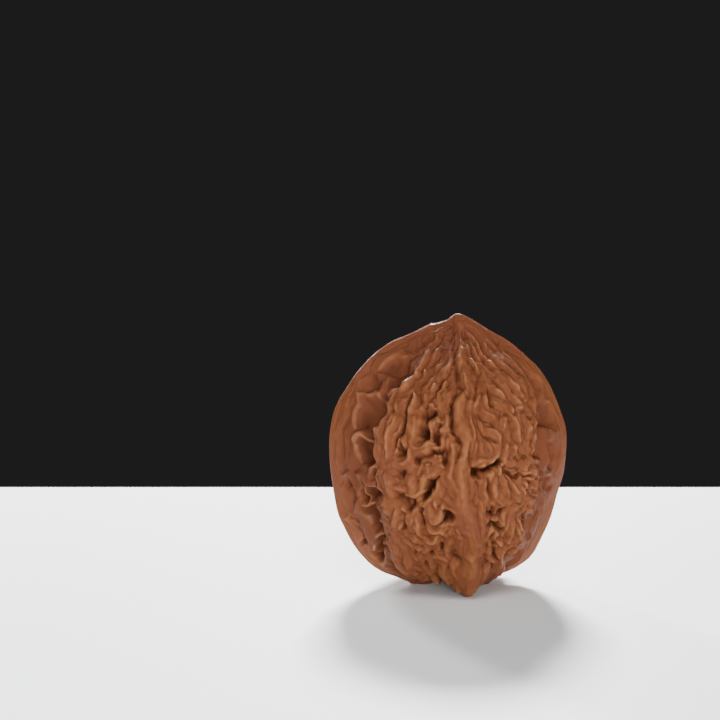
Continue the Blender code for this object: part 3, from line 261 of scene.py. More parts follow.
def tree_of(points, quads):
    return BVHTree.FromPolygons(points.tolist(), quads.tolist())


def belly_table():
    """The belly's edge as angles: round the seam, and out of its plane."""
    points = coarse_directions * plain_body(coarse_directions)[:, None] + CENTRE
    body = tree_of(points, coarse_quads)
    hits = [body.ray_cast(EYE, sight_line(u, v))[0] for u, v in BELLY_EDGE]
    rays = np.array([tuple(hit) for hit in hits if hit is not None]) - CENTRE
    turned, out = angles_of(rays / np.linalg.norm(rays, axis=1)[:, None])
    order = np.argsort(turned)
    return turned[order], out[order]


BELLY_TABLE = belly_table()


def belly_share(directions):
    turned, out = angles_of(directions)
    edge = np.interp(turned, *BELLY_TABLE, period=2 * math.pi)
    return smooth_step((out - edge) / BELLY_SLOPE_ANGLE + 0.5)


def body_points(directions):
    """The body's surface in these unit directions. The belly's step fades out at the tip."""
    below_tip = smooth_step((BELLY_STEP_ENDS - directions[:, 2]) / BELLY_STEP_FADE)
    radius = plain_body(directions) + BELLY_RISE * belly_share(directions) * below_tip
    return directions * radius[:, None] + CENTRE


def onto_body(points):
    """The points moved along their rays from the centre to the body's surface."""
    rays = points - CENTRE
    return body_points(rays / np.linalg.norm(rays, axis=1)[:, None])


coarse_body = tree_of(body_points(coarse_directions), coarse_quads)
print("belly's edge is", np.degrees(BELLY_TABLE[1]).round().tolist(), "degrees out of the seam")

# %% [markdown]
# ## Folds, hollows and creases
#
# A walnut's folds aren't random: they run down from the tip like cloth drawn together, fork, curl over
# and end in lips above deep hollows. Noise alone gives a sponge, so the folds are drawn one by one, each as
# a short chain of points on the card with its height and half-width. A ridge is a rounded crest, and
# where two meet, the higher one wins, which leaves the sharp crease that real folds have. Pits sink the
# floor between ridges, and grooves cut a line into whatever they cross.
#
# A row of a ridge table gives the crest's height in mm above the body, its half-width in mm at 1 mm under
# the crest, and then the line's points (u, v). Either size may be several numbers, spread evenly from the
# line's first point to its last. A row of pits or grooves gives the depth in mm, the half-width in mm and
# the points.

# %% Ridges that spread from the tip
TIP_RIDGES = [
    ((0.7, 0.7, 0.4), 0.55, (1.8, 44.4), (1.9, 43.2), (1.9, 42.0), (1.9, 41.0)),
    ((0.5, 1.0, 1.2, 1.3, 1.2), (0.6, 0.8, 0.9, 0.9, 0.6), (2.0, 40.6), (1.9, 39.2), (1.9, 37.5),
     (2.2, 35.9), (2.3, 34.3), (2.4, 32.6), (2.6, 31.0)),
    ((0.6, 1.0, 1.2, 1.4), 0.50, (2.9, 40.4), (3.2, 38.8), (3.7, 37.0), (4.2, 35.6), (4.6, 34.2)),
    ((0.5, 0.8, 1.0, 1.2), (0.4, 0.6, 0.7), (-0.7, 42.8), (-1.5, 42.0), (-2.3, 40.8), (-3.0, 39.6),
     (-3.6, 38.2), (-4.2, 36.6), (-5.2, 34.8), (-6.6, 32.6)),
    ((0.4, 0.9, 1.2), (0.4, 0.6, 0.7), (-1.4, 39.6), (-2.2, 38.0), (-2.9, 36.4), (-3.8, 34.8),
     (-4.8, 33.2)),
    ((0.3, 0.8, 1.2), (0.4, 0.5, 0.6), (-0.2, 38.6), (-0.9, 37.0), (-1.6, 35.6), (-2.4, 34.2)),
    ((0.3, 0.9, 1.3), (0.4, 0.5, 0.6), (0.8, 38.4), (0.6, 36.8), (0.0, 35.4), (-0.8, 34.2)),
    ((0.6, 0.9, 1.0, 1.1), (0.4, 0.5, 0.5), (2.6, 43.8), (4.1, 42.7), (5.3, 41.3), (5.9, 39.8),
     (6.5, 38.2), (7.6, 36.8), (9.2, 35.3), (10.8, 33.8), (11.9, 32.5), (12.6, 30.4)),
    ((0.5, 0.7, 0.8, 0.9), (0.3, 0.4, 0.5), (4.0, 43.4), (5.4, 42.1), (6.5, 40.6), (7.3, 39.2),
     (8.6, 37.7), (10.1, 36.2), (11.6, 34.8), (12.8, 33.4)),
    ((0.5, 0.9, 1.1, 1.1), (0.4, 0.5, 0.5), (2.8, 42.6), (3.8, 41.3), (4.6, 39.8), (5.2, 38.2),
     (6.1, 36.8), (7.4, 35.5), (8.7, 34.4), (9.9, 33.1), (11.2, 31.8), (12.1, 30.4)),
    ((0.5, 0.9, 1.1, 1.2), (0.4, 0.5, 0.6), (3.2, 40.8), (4.0, 39.2), (4.8, 37.4), (5.6, 35.9),
     (6.4, 34.9), (7.6, 33.6), (9.2, 32.2), (10.3, 30.9), (11.5, 29.5), (12.4, 28.8)),
    (0.7, 0.45, (-5.1, 40.9), (-5.0, 39.8), (-4.8, 38.8), (-4.8, 37.6)),
    (0.7, 0.45, (-6.0, 40.6), (-5.9, 39.4), (-5.6, 38.2)),
    (0.5, 0.40, (8.8, 40.3), (8.8, 39.1), (9.3, 38.0), (10.2, 37.0)),
]

# %% Ridges of the belly's upper left
LEFT_BELLY_RIDGES = [
    (1.3, 0.70, (-4.1, 37.2), (-4.5, 36.2), (-5.0, 34.8), (-6.2, 33.4), (-7.4, 32.3), (-8.4, 31.2)),
    (1.5, 1.05, (-7.3, 30.6), (-7.9, 29.0), (-8.6, 27.4), (-9.2, 25.8), (-9.7, 24.2), (-9.9, 22.6),
     (-9.9, 21.0)),
    (1.5, 0.95, (-9.9, 21.0), (-10.1, 19.4), (-9.9, 17.8), (-9.6, 16.4), (-9.3, 15.0)),
    (0.9, 0.55, (-8.2, 31.4), (-9.2, 29.9), (-9.8, 28.2), (-10.5, 26.2), (-11.1, 24.3), (-11.3, 22.4),
     (-11.6, 20.6)),
    (1.3, 0.55, (-6.7, 31.5), (-6.9, 30.4), (-7.3, 29.3), (-7.6, 28.2)),
    (1.5, 0.60, (-5.0, 34.3), (-5.4, 32.6), (-5.9, 31.0), (-5.8, 29.4), (-5.9, 27.8), (-6.4, 26.4),
     (-6.7, 25.0)),
    (1.5, 0.75, (-4.6, 30.9), (-4.9, 29.8), (-5.1, 28.5), (-5.4, 27.0), (-5.7, 25.4), (-5.9, 23.9),
     (-6.1, 22.8)),
    (1.2, 0.50, (-2.6, 33.3), (-3.2, 32.0), (-3.7, 30.8), (-4.1, 29.6)),
    (1.5, 0.60, (-2.3, 33.9), (-1.9, 33.0), (-2.4, 31.9), (-2.9, 30.9)),
    (1.4, 0.55, (0.2, 34.6), (-0.3, 33.6), (-0.7, 32.4), (-1.3, 31.6), (-1.8, 30.9), (-1.6, 29.9)),
    (1.5, 0.60, (-1.7, 31.0), (-1.5, 30.0), (-1.0, 29.3), (-0.8, 28.2), (-0.7, 27.0), (-0.7, 26.0),
     (-1.0, 25.0)),
    (1.5, 0.60, (-1.0, 25.0), (-1.0, 24.0), (-0.8, 23.0), (-1.2, 22.5)),
    (1.3, 0.60, (0.6, 34.2), (0.3, 33.0), (0.2, 31.8), (-0.1, 30.6), (-0.3, 29.4)),
    (1.1, 0.80, (-2.4, 27.6), (-2.3, 26.7), (-2.2, 25.8)),
    (1.5, 0.60, (-6.0, 23.2), (-5.7, 22.4), (-5.0, 22.0), (-4.2, 22.1), (-3.7, 22.8), (-3.2, 23.3),
     (-2.5, 23.2)),
    (1.3, 0.50, (-8.7, 21.6), (-8.6, 20.8), (-8.0, 20.2), (-7.1, 20.1), (-6.4, 20.6), (-6.2, 21.6),
     (-6.3, 22.6)),
    (1.4, 0.50, (-2.6, 21.3), (-2.3, 20.5), (-1.6, 19.9), (-1.0, 19.4)),
    (1.5, 0.90, (-6.4, 20.1), (-5.5, 18.9), (-5.7, 17.8), (-6.1, 17.0), (-6.0, 16.2), (-5.5, 15.6)),
    (1.3, 0.55, (-4.3, 20.4), (-4.8, 19.2), (-5.2, 18.2)),
    (1.4, 0.60, (-3.8, 19.2), (-3.6, 18.2), (-4.0, 17.1), (-4.3, 16.2)),
    (1.4, 0.55, (-3.6, 17.7), (-2.8, 17.9), (-2.1, 18.2), (-1.6, 18.5)),
    (1.4, 0.60, (-7.0, 14.9), (-6.1, 15.0), (-5.2, 15.2), (-4.4, 15.6)),
    (1.2, 0.50, (-9.3, 17.1), (-8.7, 16.3), (-7.8, 15.6), (-7.2, 16.0), (-6.6, 16.6)),
]

# %% Ridges of the belly's lower left
LOWER_LEFT_RIDGES = [
    (1.5, 0.95, (-9.3, 15.0), (-8.9, 13.8), (-8.6, 12.5), (-8.6, 11.3), (-8.8, 10.3), (-8.5, 9.4)),
    (1.5, 0.65, (-5.3, 13.2), (-5.3, 12.0), (-5.2, 11.0), (-4.9, 10.0), (-4.8, 9.0), (-4.4, 8.2)),
    (1.4, 0.75, (-2.9, 15.4), (-2.6, 14.4), (-2.2, 13.6), (-2.0, 12.9)),
    (1.3, 0.50, (-3.3, 13.6), (-3.0, 12.3), (-2.9, 11.3), (-2.6, 10.5), (-1.8, 10.8), (-1.4, 11.6),
     (-1.1, 12.6)),
    (1.2, 0.50, (-1.1, 12.6), (-0.7, 13.2), (-0.2, 13.0)),
    (1.3, 0.55, (-3.3, 10.2), (-3.2, 9.4), (-2.4, 9.1), (-1.6, 9.1), (-0.7, 8.5), (0.1, 8.9), (0.6, 9.6)),
    (1.1, 0.45, (-0.6, 9.9), (-0.6, 9.2)),
    (1.4, 0.70, (-4.6, 8.1), (-3.7, 7.8), (-2.9, 7.4), (-2.3, 7.9), (-2.0, 8.7)),
    (1.1, 0.45, (-0.7, 7.8), (-0.7, 6.8), (-0.5, 6.0), (-0.1, 5.2), (0.5, 4.5)),
    (1.2, 0.70, (1.7, 8.4), (1.8, 7.2), (1.5, 6.3)),
    (1.3, 0.50, (-2.5, 6.1), (-1.9, 5.4), (-1.5, 4.9), (-0.6, 4.7), (0.3, 4.2), (1.1, 4.2), (1.7, 4.9)),
    (1.2, 0.45, (-4.2, 5.6), (-4.5, 4.9), (-4.4, 4.2)),
    (1.4, 0.95, (-8.2, 8.0), (-8.3, 6.4), (-8.2, 5.0), (-7.6, 3.4), (-6.6, 2.4), (-5.2, 2.0)),
    (1.3, 0.80, (-7.2, 6.6), (-7.0, 5.2), (-6.6, 4.0), (-5.6, 3.2), (-4.6, 3.0)),
    (1.2, 0.60, (-6.0, 5.6), (-5.4, 4.8), (-4.6, 4.2)),
    (1.3, (1.0, 0.7), (-3.0, 4.6), (-2.9, 3.2), (-2.2, 1.8), (-1.2, 0.9)),
    (1.2, 0.55, (-7.8, 8.0), (-6.6, 7.3), (-5.8, 6.7), (-5.0, 6.2), (-4.2, 5.9), (-3.4, 6.3)),
    (1.5, 0.85, (-6.9, 9.8), (-6.4, 8.7), (-5.7, 8.1), (-4.9, 7.4), (-3.9, 7.0)),
    (1.2, 0.60, (-6.6, 12.0), (-6.1, 11.0), (-6.0, 9.8)),
    (1.3, 0.8, (-1.3, 4.4), (-1.2, 3.0), (-0.6, 1.8)),
    (1.1, 0.60, (-2.7, 5.0), (-2.8, 4.0), (-2.6, 3.0), (-2.0, 2.2)),
    (0.9, 0.50, (-1.7, 16.6), (-1.4, 15.6), (-1.0, 14.8)),
    (0.9, 0.70, (-11.3, 14.0), (-10.4, 13.6), (-9.4, 13.6)),
    (0.9, 0.70, (-11.4, 10.4), (-10.4, 10.2), (-9.2, 10.6)),
    (0.9, 0.60, (-10.8, 6.6), (-9.6, 6.7), (-8.4, 7.2)),
    (0.8, 0.80, (-10.8, 18.4), (-9.9, 18.4), (-9.0, 18.8)),
]

# %% Ridges of the keel
KEEL_RIDGES = [
    (1.4, 0.55, (3.5, 31.0), (3.3, 29.6), (3.2, 28.6), (3.1, 27.6)),
    (1.8, (0.9, 0.9, 0.9, 1.3, 1.6, 1.7, 1.5, 1.2), (2.3, 31.2), (2.0, 30.0), (1.6, 28.6), (1.6, 27.2),
     (2.1, 25.9), (2.5, 24.6), (2.7, 23.2), (2.5, 21.8), (2.1, 20.2), (1.9, 18.4), (1.8, 16.4),
     (2.2, 14.2), (2.8, 12.0), (3.3, 10.0), (3.6, 8.0), (3.7, 6.0), (3.5, 4.0), (3.3, 2.0), (3.2, 0.4)),
    (1.4, 0.55, (3.5, 28.2), (3.5, 26.6), (3.8, 25.0), (3.7, 23.6), (3.4, 22.0)),
    (1.5, 0.70, (0.3, 24.4), (0.6, 23.2), (0.9, 22.2), (0.7, 20.8), (0.5, 19.6), (0.2, 18.6), (0.4, 17.4),
     (0.8, 16.2), (1.1, 14.8)),
    (1.4, 0.70, (5.0, 13.6), (5.2, 12.4), (5.1, 11.0), (5.2, 9.6), (5.0, 8.0), (4.9, 6.4), (4.9, 4.8)),
    (1.4, 0.60, (1.4, 9.6), (1.8, 8.2), (2.0, 7.0), (2.0, 5.6), (1.8, 4.4)),
    (1.3, 0.55, (1.2, 3.8), (1.4, 2.4), (1.5, 1.0)),
]

# %% Ridges of the belly's upper right
RIGHT_BELLY_RIDGES = [
    ((0.6, 1.2, 1.4), 0.60, (5.6, 33.8), (7.2, 32.0), (8.5, 30.6), (9.4, 29.3), (9.9, 27.7)),
    ((0.6, 1.2, 1.4), 0.50, (5.9, 32.2), (6.7, 30.6), (7.8, 29.5), (9.0, 28.6), (9.8, 27.4),
     (10.3, 26.0)),
    (1.3, 0.50, (5.7, 33.2), (5.8, 32.2), (6.0, 31.0), (6.1, 30.0), (6.3, 29.1)),
    (1.4, 0.55, (5.3, 33.6), (5.2, 32.3), (4.9, 31.2), (4.4, 30.2), (4.1, 29.2), (3.9, 28.2)),
    (1.2, 0.75, (5.2, 30.4), (5.2, 29.2), (5.9, 28.3), (6.9, 27.9), (7.5, 27.1), (7.6, 26.2),
     (7.4, 25.3)),
    (1.5, 0.70, (9.5, 29.0), (9.4, 28.0), (8.8, 27.0), (8.7, 26.0), (8.9, 24.8)),
    (1.5, 0.80, (9.7, 29.8), (10.1, 28.4), (10.4, 27.0), (10.7, 25.8), (11.0, 24.6), (11.4, 23.4),
     (11.7, 22.2)),
    (1.3, 0.55, (11.4, 28.4), (12.0, 27.3), (12.6, 26.5), (12.8, 25.4), (12.6, 24.2)),
    (1.1, 0.35, (10.8, 28.9), (11.5, 29.1), (12.2, 29.0)),
    (1.3, 0.70, (4.5, 27.5), (5.2, 26.5), (6.0, 25.7), (7.0, 25.2), (7.6, 24.4), (8.0, 23.4),
     (8.2, 22.2)),
    (1.3, 0.50, (5.6, 24.4), (6.4, 23.6), (7.0, 22.8), (7.4, 21.8)),
    (1.4, 0.60, (3.7, 26.4), (4.0, 25.0), (4.2, 23.8), (4.2, 22.5), (4.1, 21.2)),
    (1.4, 0.50, (4.3, 26.2), (4.7, 25.0), (5.0, 23.8), (5.1, 22.6), (5.3, 21.4)),
    (1.4, 0.60, (5.4, 24.6), (5.9, 23.7), (6.3, 22.8), (6.6, 21.9), (6.9, 21.1)),
    (1.6, 0.60, (3.9, 19.9), (4.6, 20.0), (5.5, 20.3), (6.4, 20.6), (7.0, 21.0)),
    (1.4, 0.60, (9.6, 25.2), (9.4, 24.2), (9.2, 23.0), (9.1, 22.0), (9.6, 21.3)),
    (1.3, 0.60, (10.4, 24.6), (10.4, 23.4), (10.5, 22.4), (10.7, 21.5)),
    (1.2, 0.45, (9.4, 20.7), (9.7, 20.3), (10.1, 19.8)),
    (1.3, 0.80, (11.3, 20.5), (11.5, 19.9), (12.2, 19.4), (12.8, 19.0)),
    (1.1, 0.45, (12.6, 20.6), (13.2, 20.0), (13.8, 19.4), (14.4, 18.8)),
    (1.2, 0.35, (11.4, 18.8), (12.3, 18.6), (13.2, 18.8), (14.0, 18.6)),
    (0.9, 0.35, (12.2, 17.5), (13.4, 17.4), (14.6, 17.5), (15.2, 17.9)),
    (0.8, 0.35, (12.8, 16.1), (13.8, 16.2), (14.8, 16.3)),
    (0.9, 0.80, (12.7, 14.0), (13.3, 13.4), (14.1, 13.2)),
]

# %% Ridges of the belly's lower right
LOWER_RIGHT_RIDGES = [
    (1.3, 0.55, (5.0, 18.2), (5.3, 17.2), (5.5, 16.0), (5.7, 15.0), (6.0, 14.0), (6.2, 13.0),
     (6.3, 12.3)),
    (1.5, 0.75, (6.6, 18.6), (7.0, 17.4), (7.2, 16.2), (7.4, 15.0), (7.9, 14.1), (8.6, 13.7)),
    (1.4, 0.55, (8.3, 19.2), (8.4, 17.8), (8.7, 16.6), (9.2, 15.6), (9.9, 14.6)),
    (1.4, 0.45, (9.0, 18.4), (9.6, 17.4), (10.2, 16.5), (10.8, 15.6), (11.0, 14.6)),
    (1.3, 0.40, (10.1, 17.9), (10.8, 17.0), (11.4, 16.2), (11.8, 15.2), (12.0, 14.2)),
    (1.2, 0.40, (10.9, 18.0), (11.6, 17.2), (12.1, 16.4), (12.4, 15.5)),
    (1.4, 0.85, (8.9, 14.4), (9.7, 13.6), (9.9, 12.4), (9.9, 11.0), (9.9, 9.6), (9.8, 8.4), (9.3, 7.4)),
    (1.2, 0.45, (11.4, 14.6), (11.7, 13.6), (11.3, 12.6), (10.9, 11.6), (11.2, 10.9), (11.5, 10.2),
     (11.2, 9.4)),
    (1.1, 0.45, (10.9, 9.6), (10.8, 8.6), (10.4, 7.6), (9.8, 6.9)),
    (1.3, 0.45, (7.7, 11.6), (8.2, 10.9), (8.5, 10.2), (9.0, 9.6)),
    (1.1, 0.35, (5.7, 11.8), (6.2, 11.3), (6.2, 10.9), (5.6, 10.7)),
    (1.4, 0.50, (7.2, 8.9), (7.6, 8.0), (8.0, 7.1), (8.4, 6.4)),
    (1.4, 0.70, (5.8, 9.0), (6.1, 7.8), (6.2, 6.6), (6.4, 5.4), (6.8, 4.4), (7.3, 3.9)),
    (1.3, 0.50, (8.6, 8.0), (8.9, 6.9), (8.6, 5.9), (8.2, 5.0), (8.3, 4.2), (8.2, 3.5), (7.4, 2.9),
     (6.8, 2.4)),
    (1.2, 0.50, (7.6, 6.2), (7.8, 5.2), (7.9, 4.3)),
    (1.2, 0.55, (5.1, 5.0), (5.1, 3.8), (5.3, 2.8), (6.1, 2.2)),
    (1.2, 0.50, (5.3, 9.6), (5.4, 8.4), (5.4, 7.2), (5.5, 6.0)),
]

# %% Low ridges of the band beside the rim
BAND_RIDGES = [
    (0.4, 0.50, (14.7, 35.2), (15.1, 34.0), (15.3, 32.6), (15.3, 31.2), (15.5, 30.0)),
    (0.45, 0.5, (13.9, 28.4), (15.0, 29.1), (15.9, 29.5), (16.6, 30.3)),
    (0.7, 0.45, (13.4, 27.6), (13.8, 26.6), (14.4, 25.9)),
    (0.7, 0.50, (15.0, 26.4), (15.4, 25.3), (15.6, 24.0), (15.6, 22.8), (15.8, 21.4), (15.9, 20.4),
     (15.6, 19.2)),
    (0.35, 0.5, (15.7, 25.6), (16.5, 25.1), (17.3, 25.2), (18.3, 25.1)),
    (0.3, 0.5, (16.9, 27.2), (17.2, 26.2), (17.4, 25.6)),
    (0.6, 0.45, (18.5, 22.6), (18.2, 21.4), (17.9, 20.2), (17.7, 19.0), (17.4, 18.0)),
    (0.7, 0.40, (13.4, 25.4), (13.4, 24.6), (13.7, 24.0), (14.6, 24.0)),
    (0.7, 0.45, (12.8, 23.6), (13.4, 22.8), (13.0, 21.8), (12.6, 21.0)),
    (0.6, 0.45, (13.2, 20.7), (14.4, 20.5), (15.4, 20.8)),
    (0.7, 0.45, (15.4, 18.6), (15.2, 17.6), (14.8, 16.6), (15.0, 15.4), (15.3, 14.2), (15.2, 12.8),
     (15.4, 11.4)),
    (0.35, 0.5, (15.8, 17.9), (16.8, 17.7), (17.8, 17.4)),
    (0.7, 0.35, (14.9, 12.3), (14.4, 11.5), (13.8, 11.0), (13.5, 10.3), (13.3, 9.2), (13.3, 8.2),
     (13.0, 7.2)),
    (0.7, 0.45, (12.6, 12.6), (13.4, 12.2), (14.2, 12.6)),
    (0.7, 0.35, (13.0, 6.6), (12.5, 5.8), (12.0, 5.0), (11.4, 4.3), (10.7, 3.7), (9.9, 3.3), (9.3, 2.7)),
    (0.8, 0.70, (11.3, 8.6), (11.6, 7.6), (11.8, 6.9), (12.6, 6.7)),
    (0.5, 0.70, (-10.9, 36.2), (-10.8, 34.4), (-10.9, 32.8), (-11.1, 31.6)),
    (0.5, 0.60, (-14.3, 34.9), (-14.7, 33.6), (-14.9, 32.2), (-14.9, 31.4)),
    (1.2, 0.60, (-15.1, 31.7), (-14.7, 31.1), (-14.0, 30.8), (-13.2, 31.0), (-12.4, 30.9), (-11.6, 31.1),
     (-10.9, 31.6)),
    (0.5, 1.40, (-9.2, 35.2), (-8.9, 34.0), (-8.9, 33.0)),
    (0.9, 0.50, (-15.9, 23.2), (-15.2, 23.9), (-14.3, 24.7), (-13.4, 25.2), (-12.4, 25.5), (-11.4, 25.4),
     (-10.9, 24.8)),
    (0.5, 0.40, (-16.9, 26.4), (-16.9, 24.6), (-16.6, 22.9), (-16.5, 21.0), (-16.5, 19.2)),
    (0.4, 0.35, (-16.2, 22.3), (-16.0, 20.6), (-16.0, 19.0)),
    (0.6, 0.40, (-13.4, 18.4), (-13.2, 17.5), (-12.6, 16.9), (-11.8, 17.0), (-11.4, 17.8)),
    (0.4, 0.45, (-18.0, 23.6), (-18.3, 22.0), (-18.2, 20.4), (-17.7, 19.0)),
    (0.6, 0.40, (-17.9, 17.7), (-17.0, 18.3), (-16.2, 18.9)),
    (0.7, 0.40, (-15.7, 19.0), (-15.0, 18.3), (-14.2, 18.0), (-13.6, 17.2), (-12.8, 16.4), (-11.8, 16.2),
     (-10.9, 16.6)),
    (0.7, 0.50, (-11.8, 20.8), (-12.4, 19.6), (-13.0, 18.6), (-13.5, 17.6)),
    (0.4, 0.45, (-15.3, 17.2), (-15.3, 16.0), (-15.1, 14.8), (-14.9, 13.8)),
    (0.6, 0.50, (-14.4, 14.6), (-14.7, 13.4), (-15.0, 12.4), (-15.7, 11.6), (-16.6, 11.0), (-17.6, 10.9)),
    (0.6, 0.50, (-14.3, 13.0), (-13.2, 13.3), (-12.5, 13.6), (-11.8, 13.3), (-11.2, 12.8), (-10.7, 12.1)),
    (0.4, 0.50, (-14.6, 10.9), (-14.0, 10.0), (-13.5, 9.1), (-13.1, 8.0), (-13.0, 6.8), (-12.9, 5.6)),
    (0.6, 0.55, (-10.9, 9.6), (-11.3, 8.6), (-11.5, 7.5), (-11.8, 6.6), (-12.5, 5.6), (-12.6, 4.4)),
    (0.6, 0.35, (-10.4, 8.2), (-9.8, 7.6), (-9.4, 6.8), (-9.3, 5.9)),
    (0.5, 0.70, (-10.4, 4.8), (-10.2, 3.6), (-10.5, 2.6)),
    (0.6, 0.50, (-10.7, 14.6), (-10.4, 13.4), (-10.0, 12.2), (-9.9, 11.0)),
    (0.5, 0.50, (-17.0, 16.8), (-17.3, 15.4), (-17.0, 14.0), (-16.6, 12.6)),
]
LEFT_RIDGES = LEFT_BELLY_RIDGES + LOWER_LEFT_RIDGES
RIGHT_RIDGES = RIGHT_BELLY_RIDGES + LOWER_RIGHT_RIDGES
RIDGES = TIP_RIDGES + LEFT_RIDGES + RIGHT_RIDGES
print(len(RIDGES), "belly ridges,", len(KEEL_RIDGES), "on the keel and", len(BAND_RIDGES), "in the band")

# %% Pits, pressed into the floor between ridges
PITS = [
    (0.25, 1.5, (-0.2, 42.4), (-0.6, 40.8), (-0.8, 39.2), (-1.0, 37.6), (-1.4, 36.2)),
    (0.25, 1.4, (3.4, 41.6), (4.2, 40.2), (4.8, 38.6), (5.6, 37.2), (6.6, 35.8)),
    (0.9, 1.4, (-9.4, 36.4), (-8.2, 36.4), (-7.4, 35.6), (-7.8, 34.2), (-9.0, 33.4)),
    (1.0, 0.7, (-7.6, 37.5), (-6.8, 37.3), (-6.2, 36.6)),
    (0.6, 1.0, (-12.9, 34.6), (-12.6, 33.4), (-12.4, 32.4)),
    (1.0, 0.6, (-10.9, 30.9), (-10.2, 30.7)),
    (1.4, 1.7, (-14.2, 28.4), (-13.0, 28.6), (-11.9, 28.4), (-11.8, 27.4), (-12.8, 26.8), (-14.0, 27.0)),
    (1.5, 1.4, (-14.1, 22.4), (-13.2, 22.6), (-12.7, 21.7), (-13.4, 21.2), (-14.2, 21.4)),
    (1.0, 0.6, (-16.7, 17.5), (-16.3, 16.2), (-16.0, 15.0), (-15.7, 13.9)),
    (1.1, 0.5, (-14.5, 17.6), (-14.2, 16.4), (-14.0, 15.2), (-13.9, 14.3)),
    (0.8, 0.7, (-12.0, 18.4), (-11.9, 17.4)),
    (1.1, 1.0, (-12.9, 15.0), (-12.1, 15.1), (-11.4, 15.3)),
    (1.7, 0.7, (-13.4, 12.6), (-12.5, 12.8), (-11.7, 12.4)),
    (1.2, 1.3, (-13.0, 11.4), (-12.0, 11.0), (-12.4, 9.8)),
    (0.8, 0.5, (-15.9, 10.8), (-15.2, 10.5)),
    (1.0, 0.6, (-14.8, 9.0), (-14.4, 8.2), (-14.1, 7.2), (-14.0, 6.6)),
    (2.0, 0.8, (-10.6, 7.4), (-10.4, 6.6), (-11.0, 6.0), (-11.6, 5.0), (-11.7, 4.2)),
    (0.9, 0.5, (-8.8, 4.8), (-8.9, 4.0), (-9.1, 3.1)),
    (0.6, 1.0, (14.3, 33.4), (14.4, 32.0), (14.5, 30.6), (14.6, 29.4)),
    (0.5, 1.1, (14.8, 27.9), (15.8, 28.1), (16.4, 28.3), (16.4, 27.0), (15.4, 27.0)),
    (1.1, 0.9, (16.8, 23.8), (17.3, 23.0), (17.0, 22.0), (16.9, 21.0), (17.1, 19.8)),
    (0.5, 0.7, (13.9, 24.9), (14.1, 24.5)),
    (0.7, 0.8, (14.2, 22.4), (14.4, 21.6), (13.6, 21.4)),
    (0.9, 0.7, (15.7, 16.8), (16.4, 17.0), (16.6, 16.0)),
    (1.2, 0.8, (12.1, 11.7), (12.3, 10.8), (12.4, 10.0)),
    (0.8, 0.5, (14.7, 11.7), (14.3, 10.9)),
    (1.7, 1.1, (9.8, 5.6), (9.7, 4.7), (10.6, 4.8), (11.5, 5.6)),
    (1.7, 0.8, (-3.2, 28.9), (-3.5, 27.8), (-4.0, 26.6), (-4.3, 25.4), (-4.0, 24.6)),
    (1.0, 0.5, (-1.6, 25.0), (-2.0, 24.2)),
    (1.2, 0.6, (-3.1, 22.3), (-3.3, 21.4), (-3.6, 20.8)),
    (1.0, 0.5, (-2.3, 22.3), (-1.5, 22.0)),
    (1.0, 0.6, (-0.5, 21.6), (-0.6, 20.9)),
    (0.8, 0.5, (-7.3, 23.0), (-7.2, 22.0), (-7.4, 21.3)),
    (0.9, 0.6, (-5.2, 21.0), (-4.4, 20.8)),
    (1.0, 0.7, (-8.4, 18.9), (-7.7, 18.5), (-7.2, 17.8)),
    (1.7, 0.5, (-1.6, 17.8), (-2.4, 17.1), (-3.1, 16.6), (-3.8, 15.9), (-4.1, 15.0), (-4.0, 14.2)),
    (1.0, 0.9, (-7.8, 14.8), (-7.3, 13.9), (-6.6, 13.5), (-6.2, 12.6)),
    (0.9, 0.6, (-7.1, 11.8), (-7.2, 10.4)),
    (2.0, 0.7, (-0.5, 11.7), (0.0, 11.1), (-0.6, 10.7), (-1.3, 10.4)),
    (0.9, 0.4, (-1.4, 8.2), (-1.4, 6.8)),
    (1.1, 0.4, (0.3, 8.3), (0.4, 7.0)),
    (1.0, 0.5, (-3.0, 6.0), (-2.7, 5.6)),
    (1.0, 0.5, (-3.7, 4.1), (-3.3, 3.6)),
    (1.5, 0.7, (4.1, 18.6), (5.2, 18.9), (6.2, 19.2), (7.0, 19.8), (7.8, 20.2), (8.6, 20.2)),
    (1.2, 0.6, (9.4, 18.9), (10.0, 18.5)),
    (0.6, 0.5, (10.8, 18.1), (12.0, 18.0), (13.2, 18.0)),
    (0.9, 0.4, (12.3, 16.8), (13.4, 16.8), (14.2, 17.0)),
    (0.9, 0.4, (12.5, 15.3), (13.6, 15.4)),
    (1.9, 0.7, (6.9, 13.1), (7.1, 12.2)),
    (1.9, 0.7, (6.2, 10.3), (7.0, 9.9), (7.7, 9.5)),
    (0.6, 0.7, (8.4, 12.5), (9.0, 12.7)),
    (1.1, 0.5, (5.6, 4.2), (5.9, 3.2), (6.0, 2.8)),
    (0.3, 0.9, (5.5, 27.1), (6.3, 26.6)),
    (0.6, 0.6, (11.0, 29.8), (11.9, 29.7)),
]

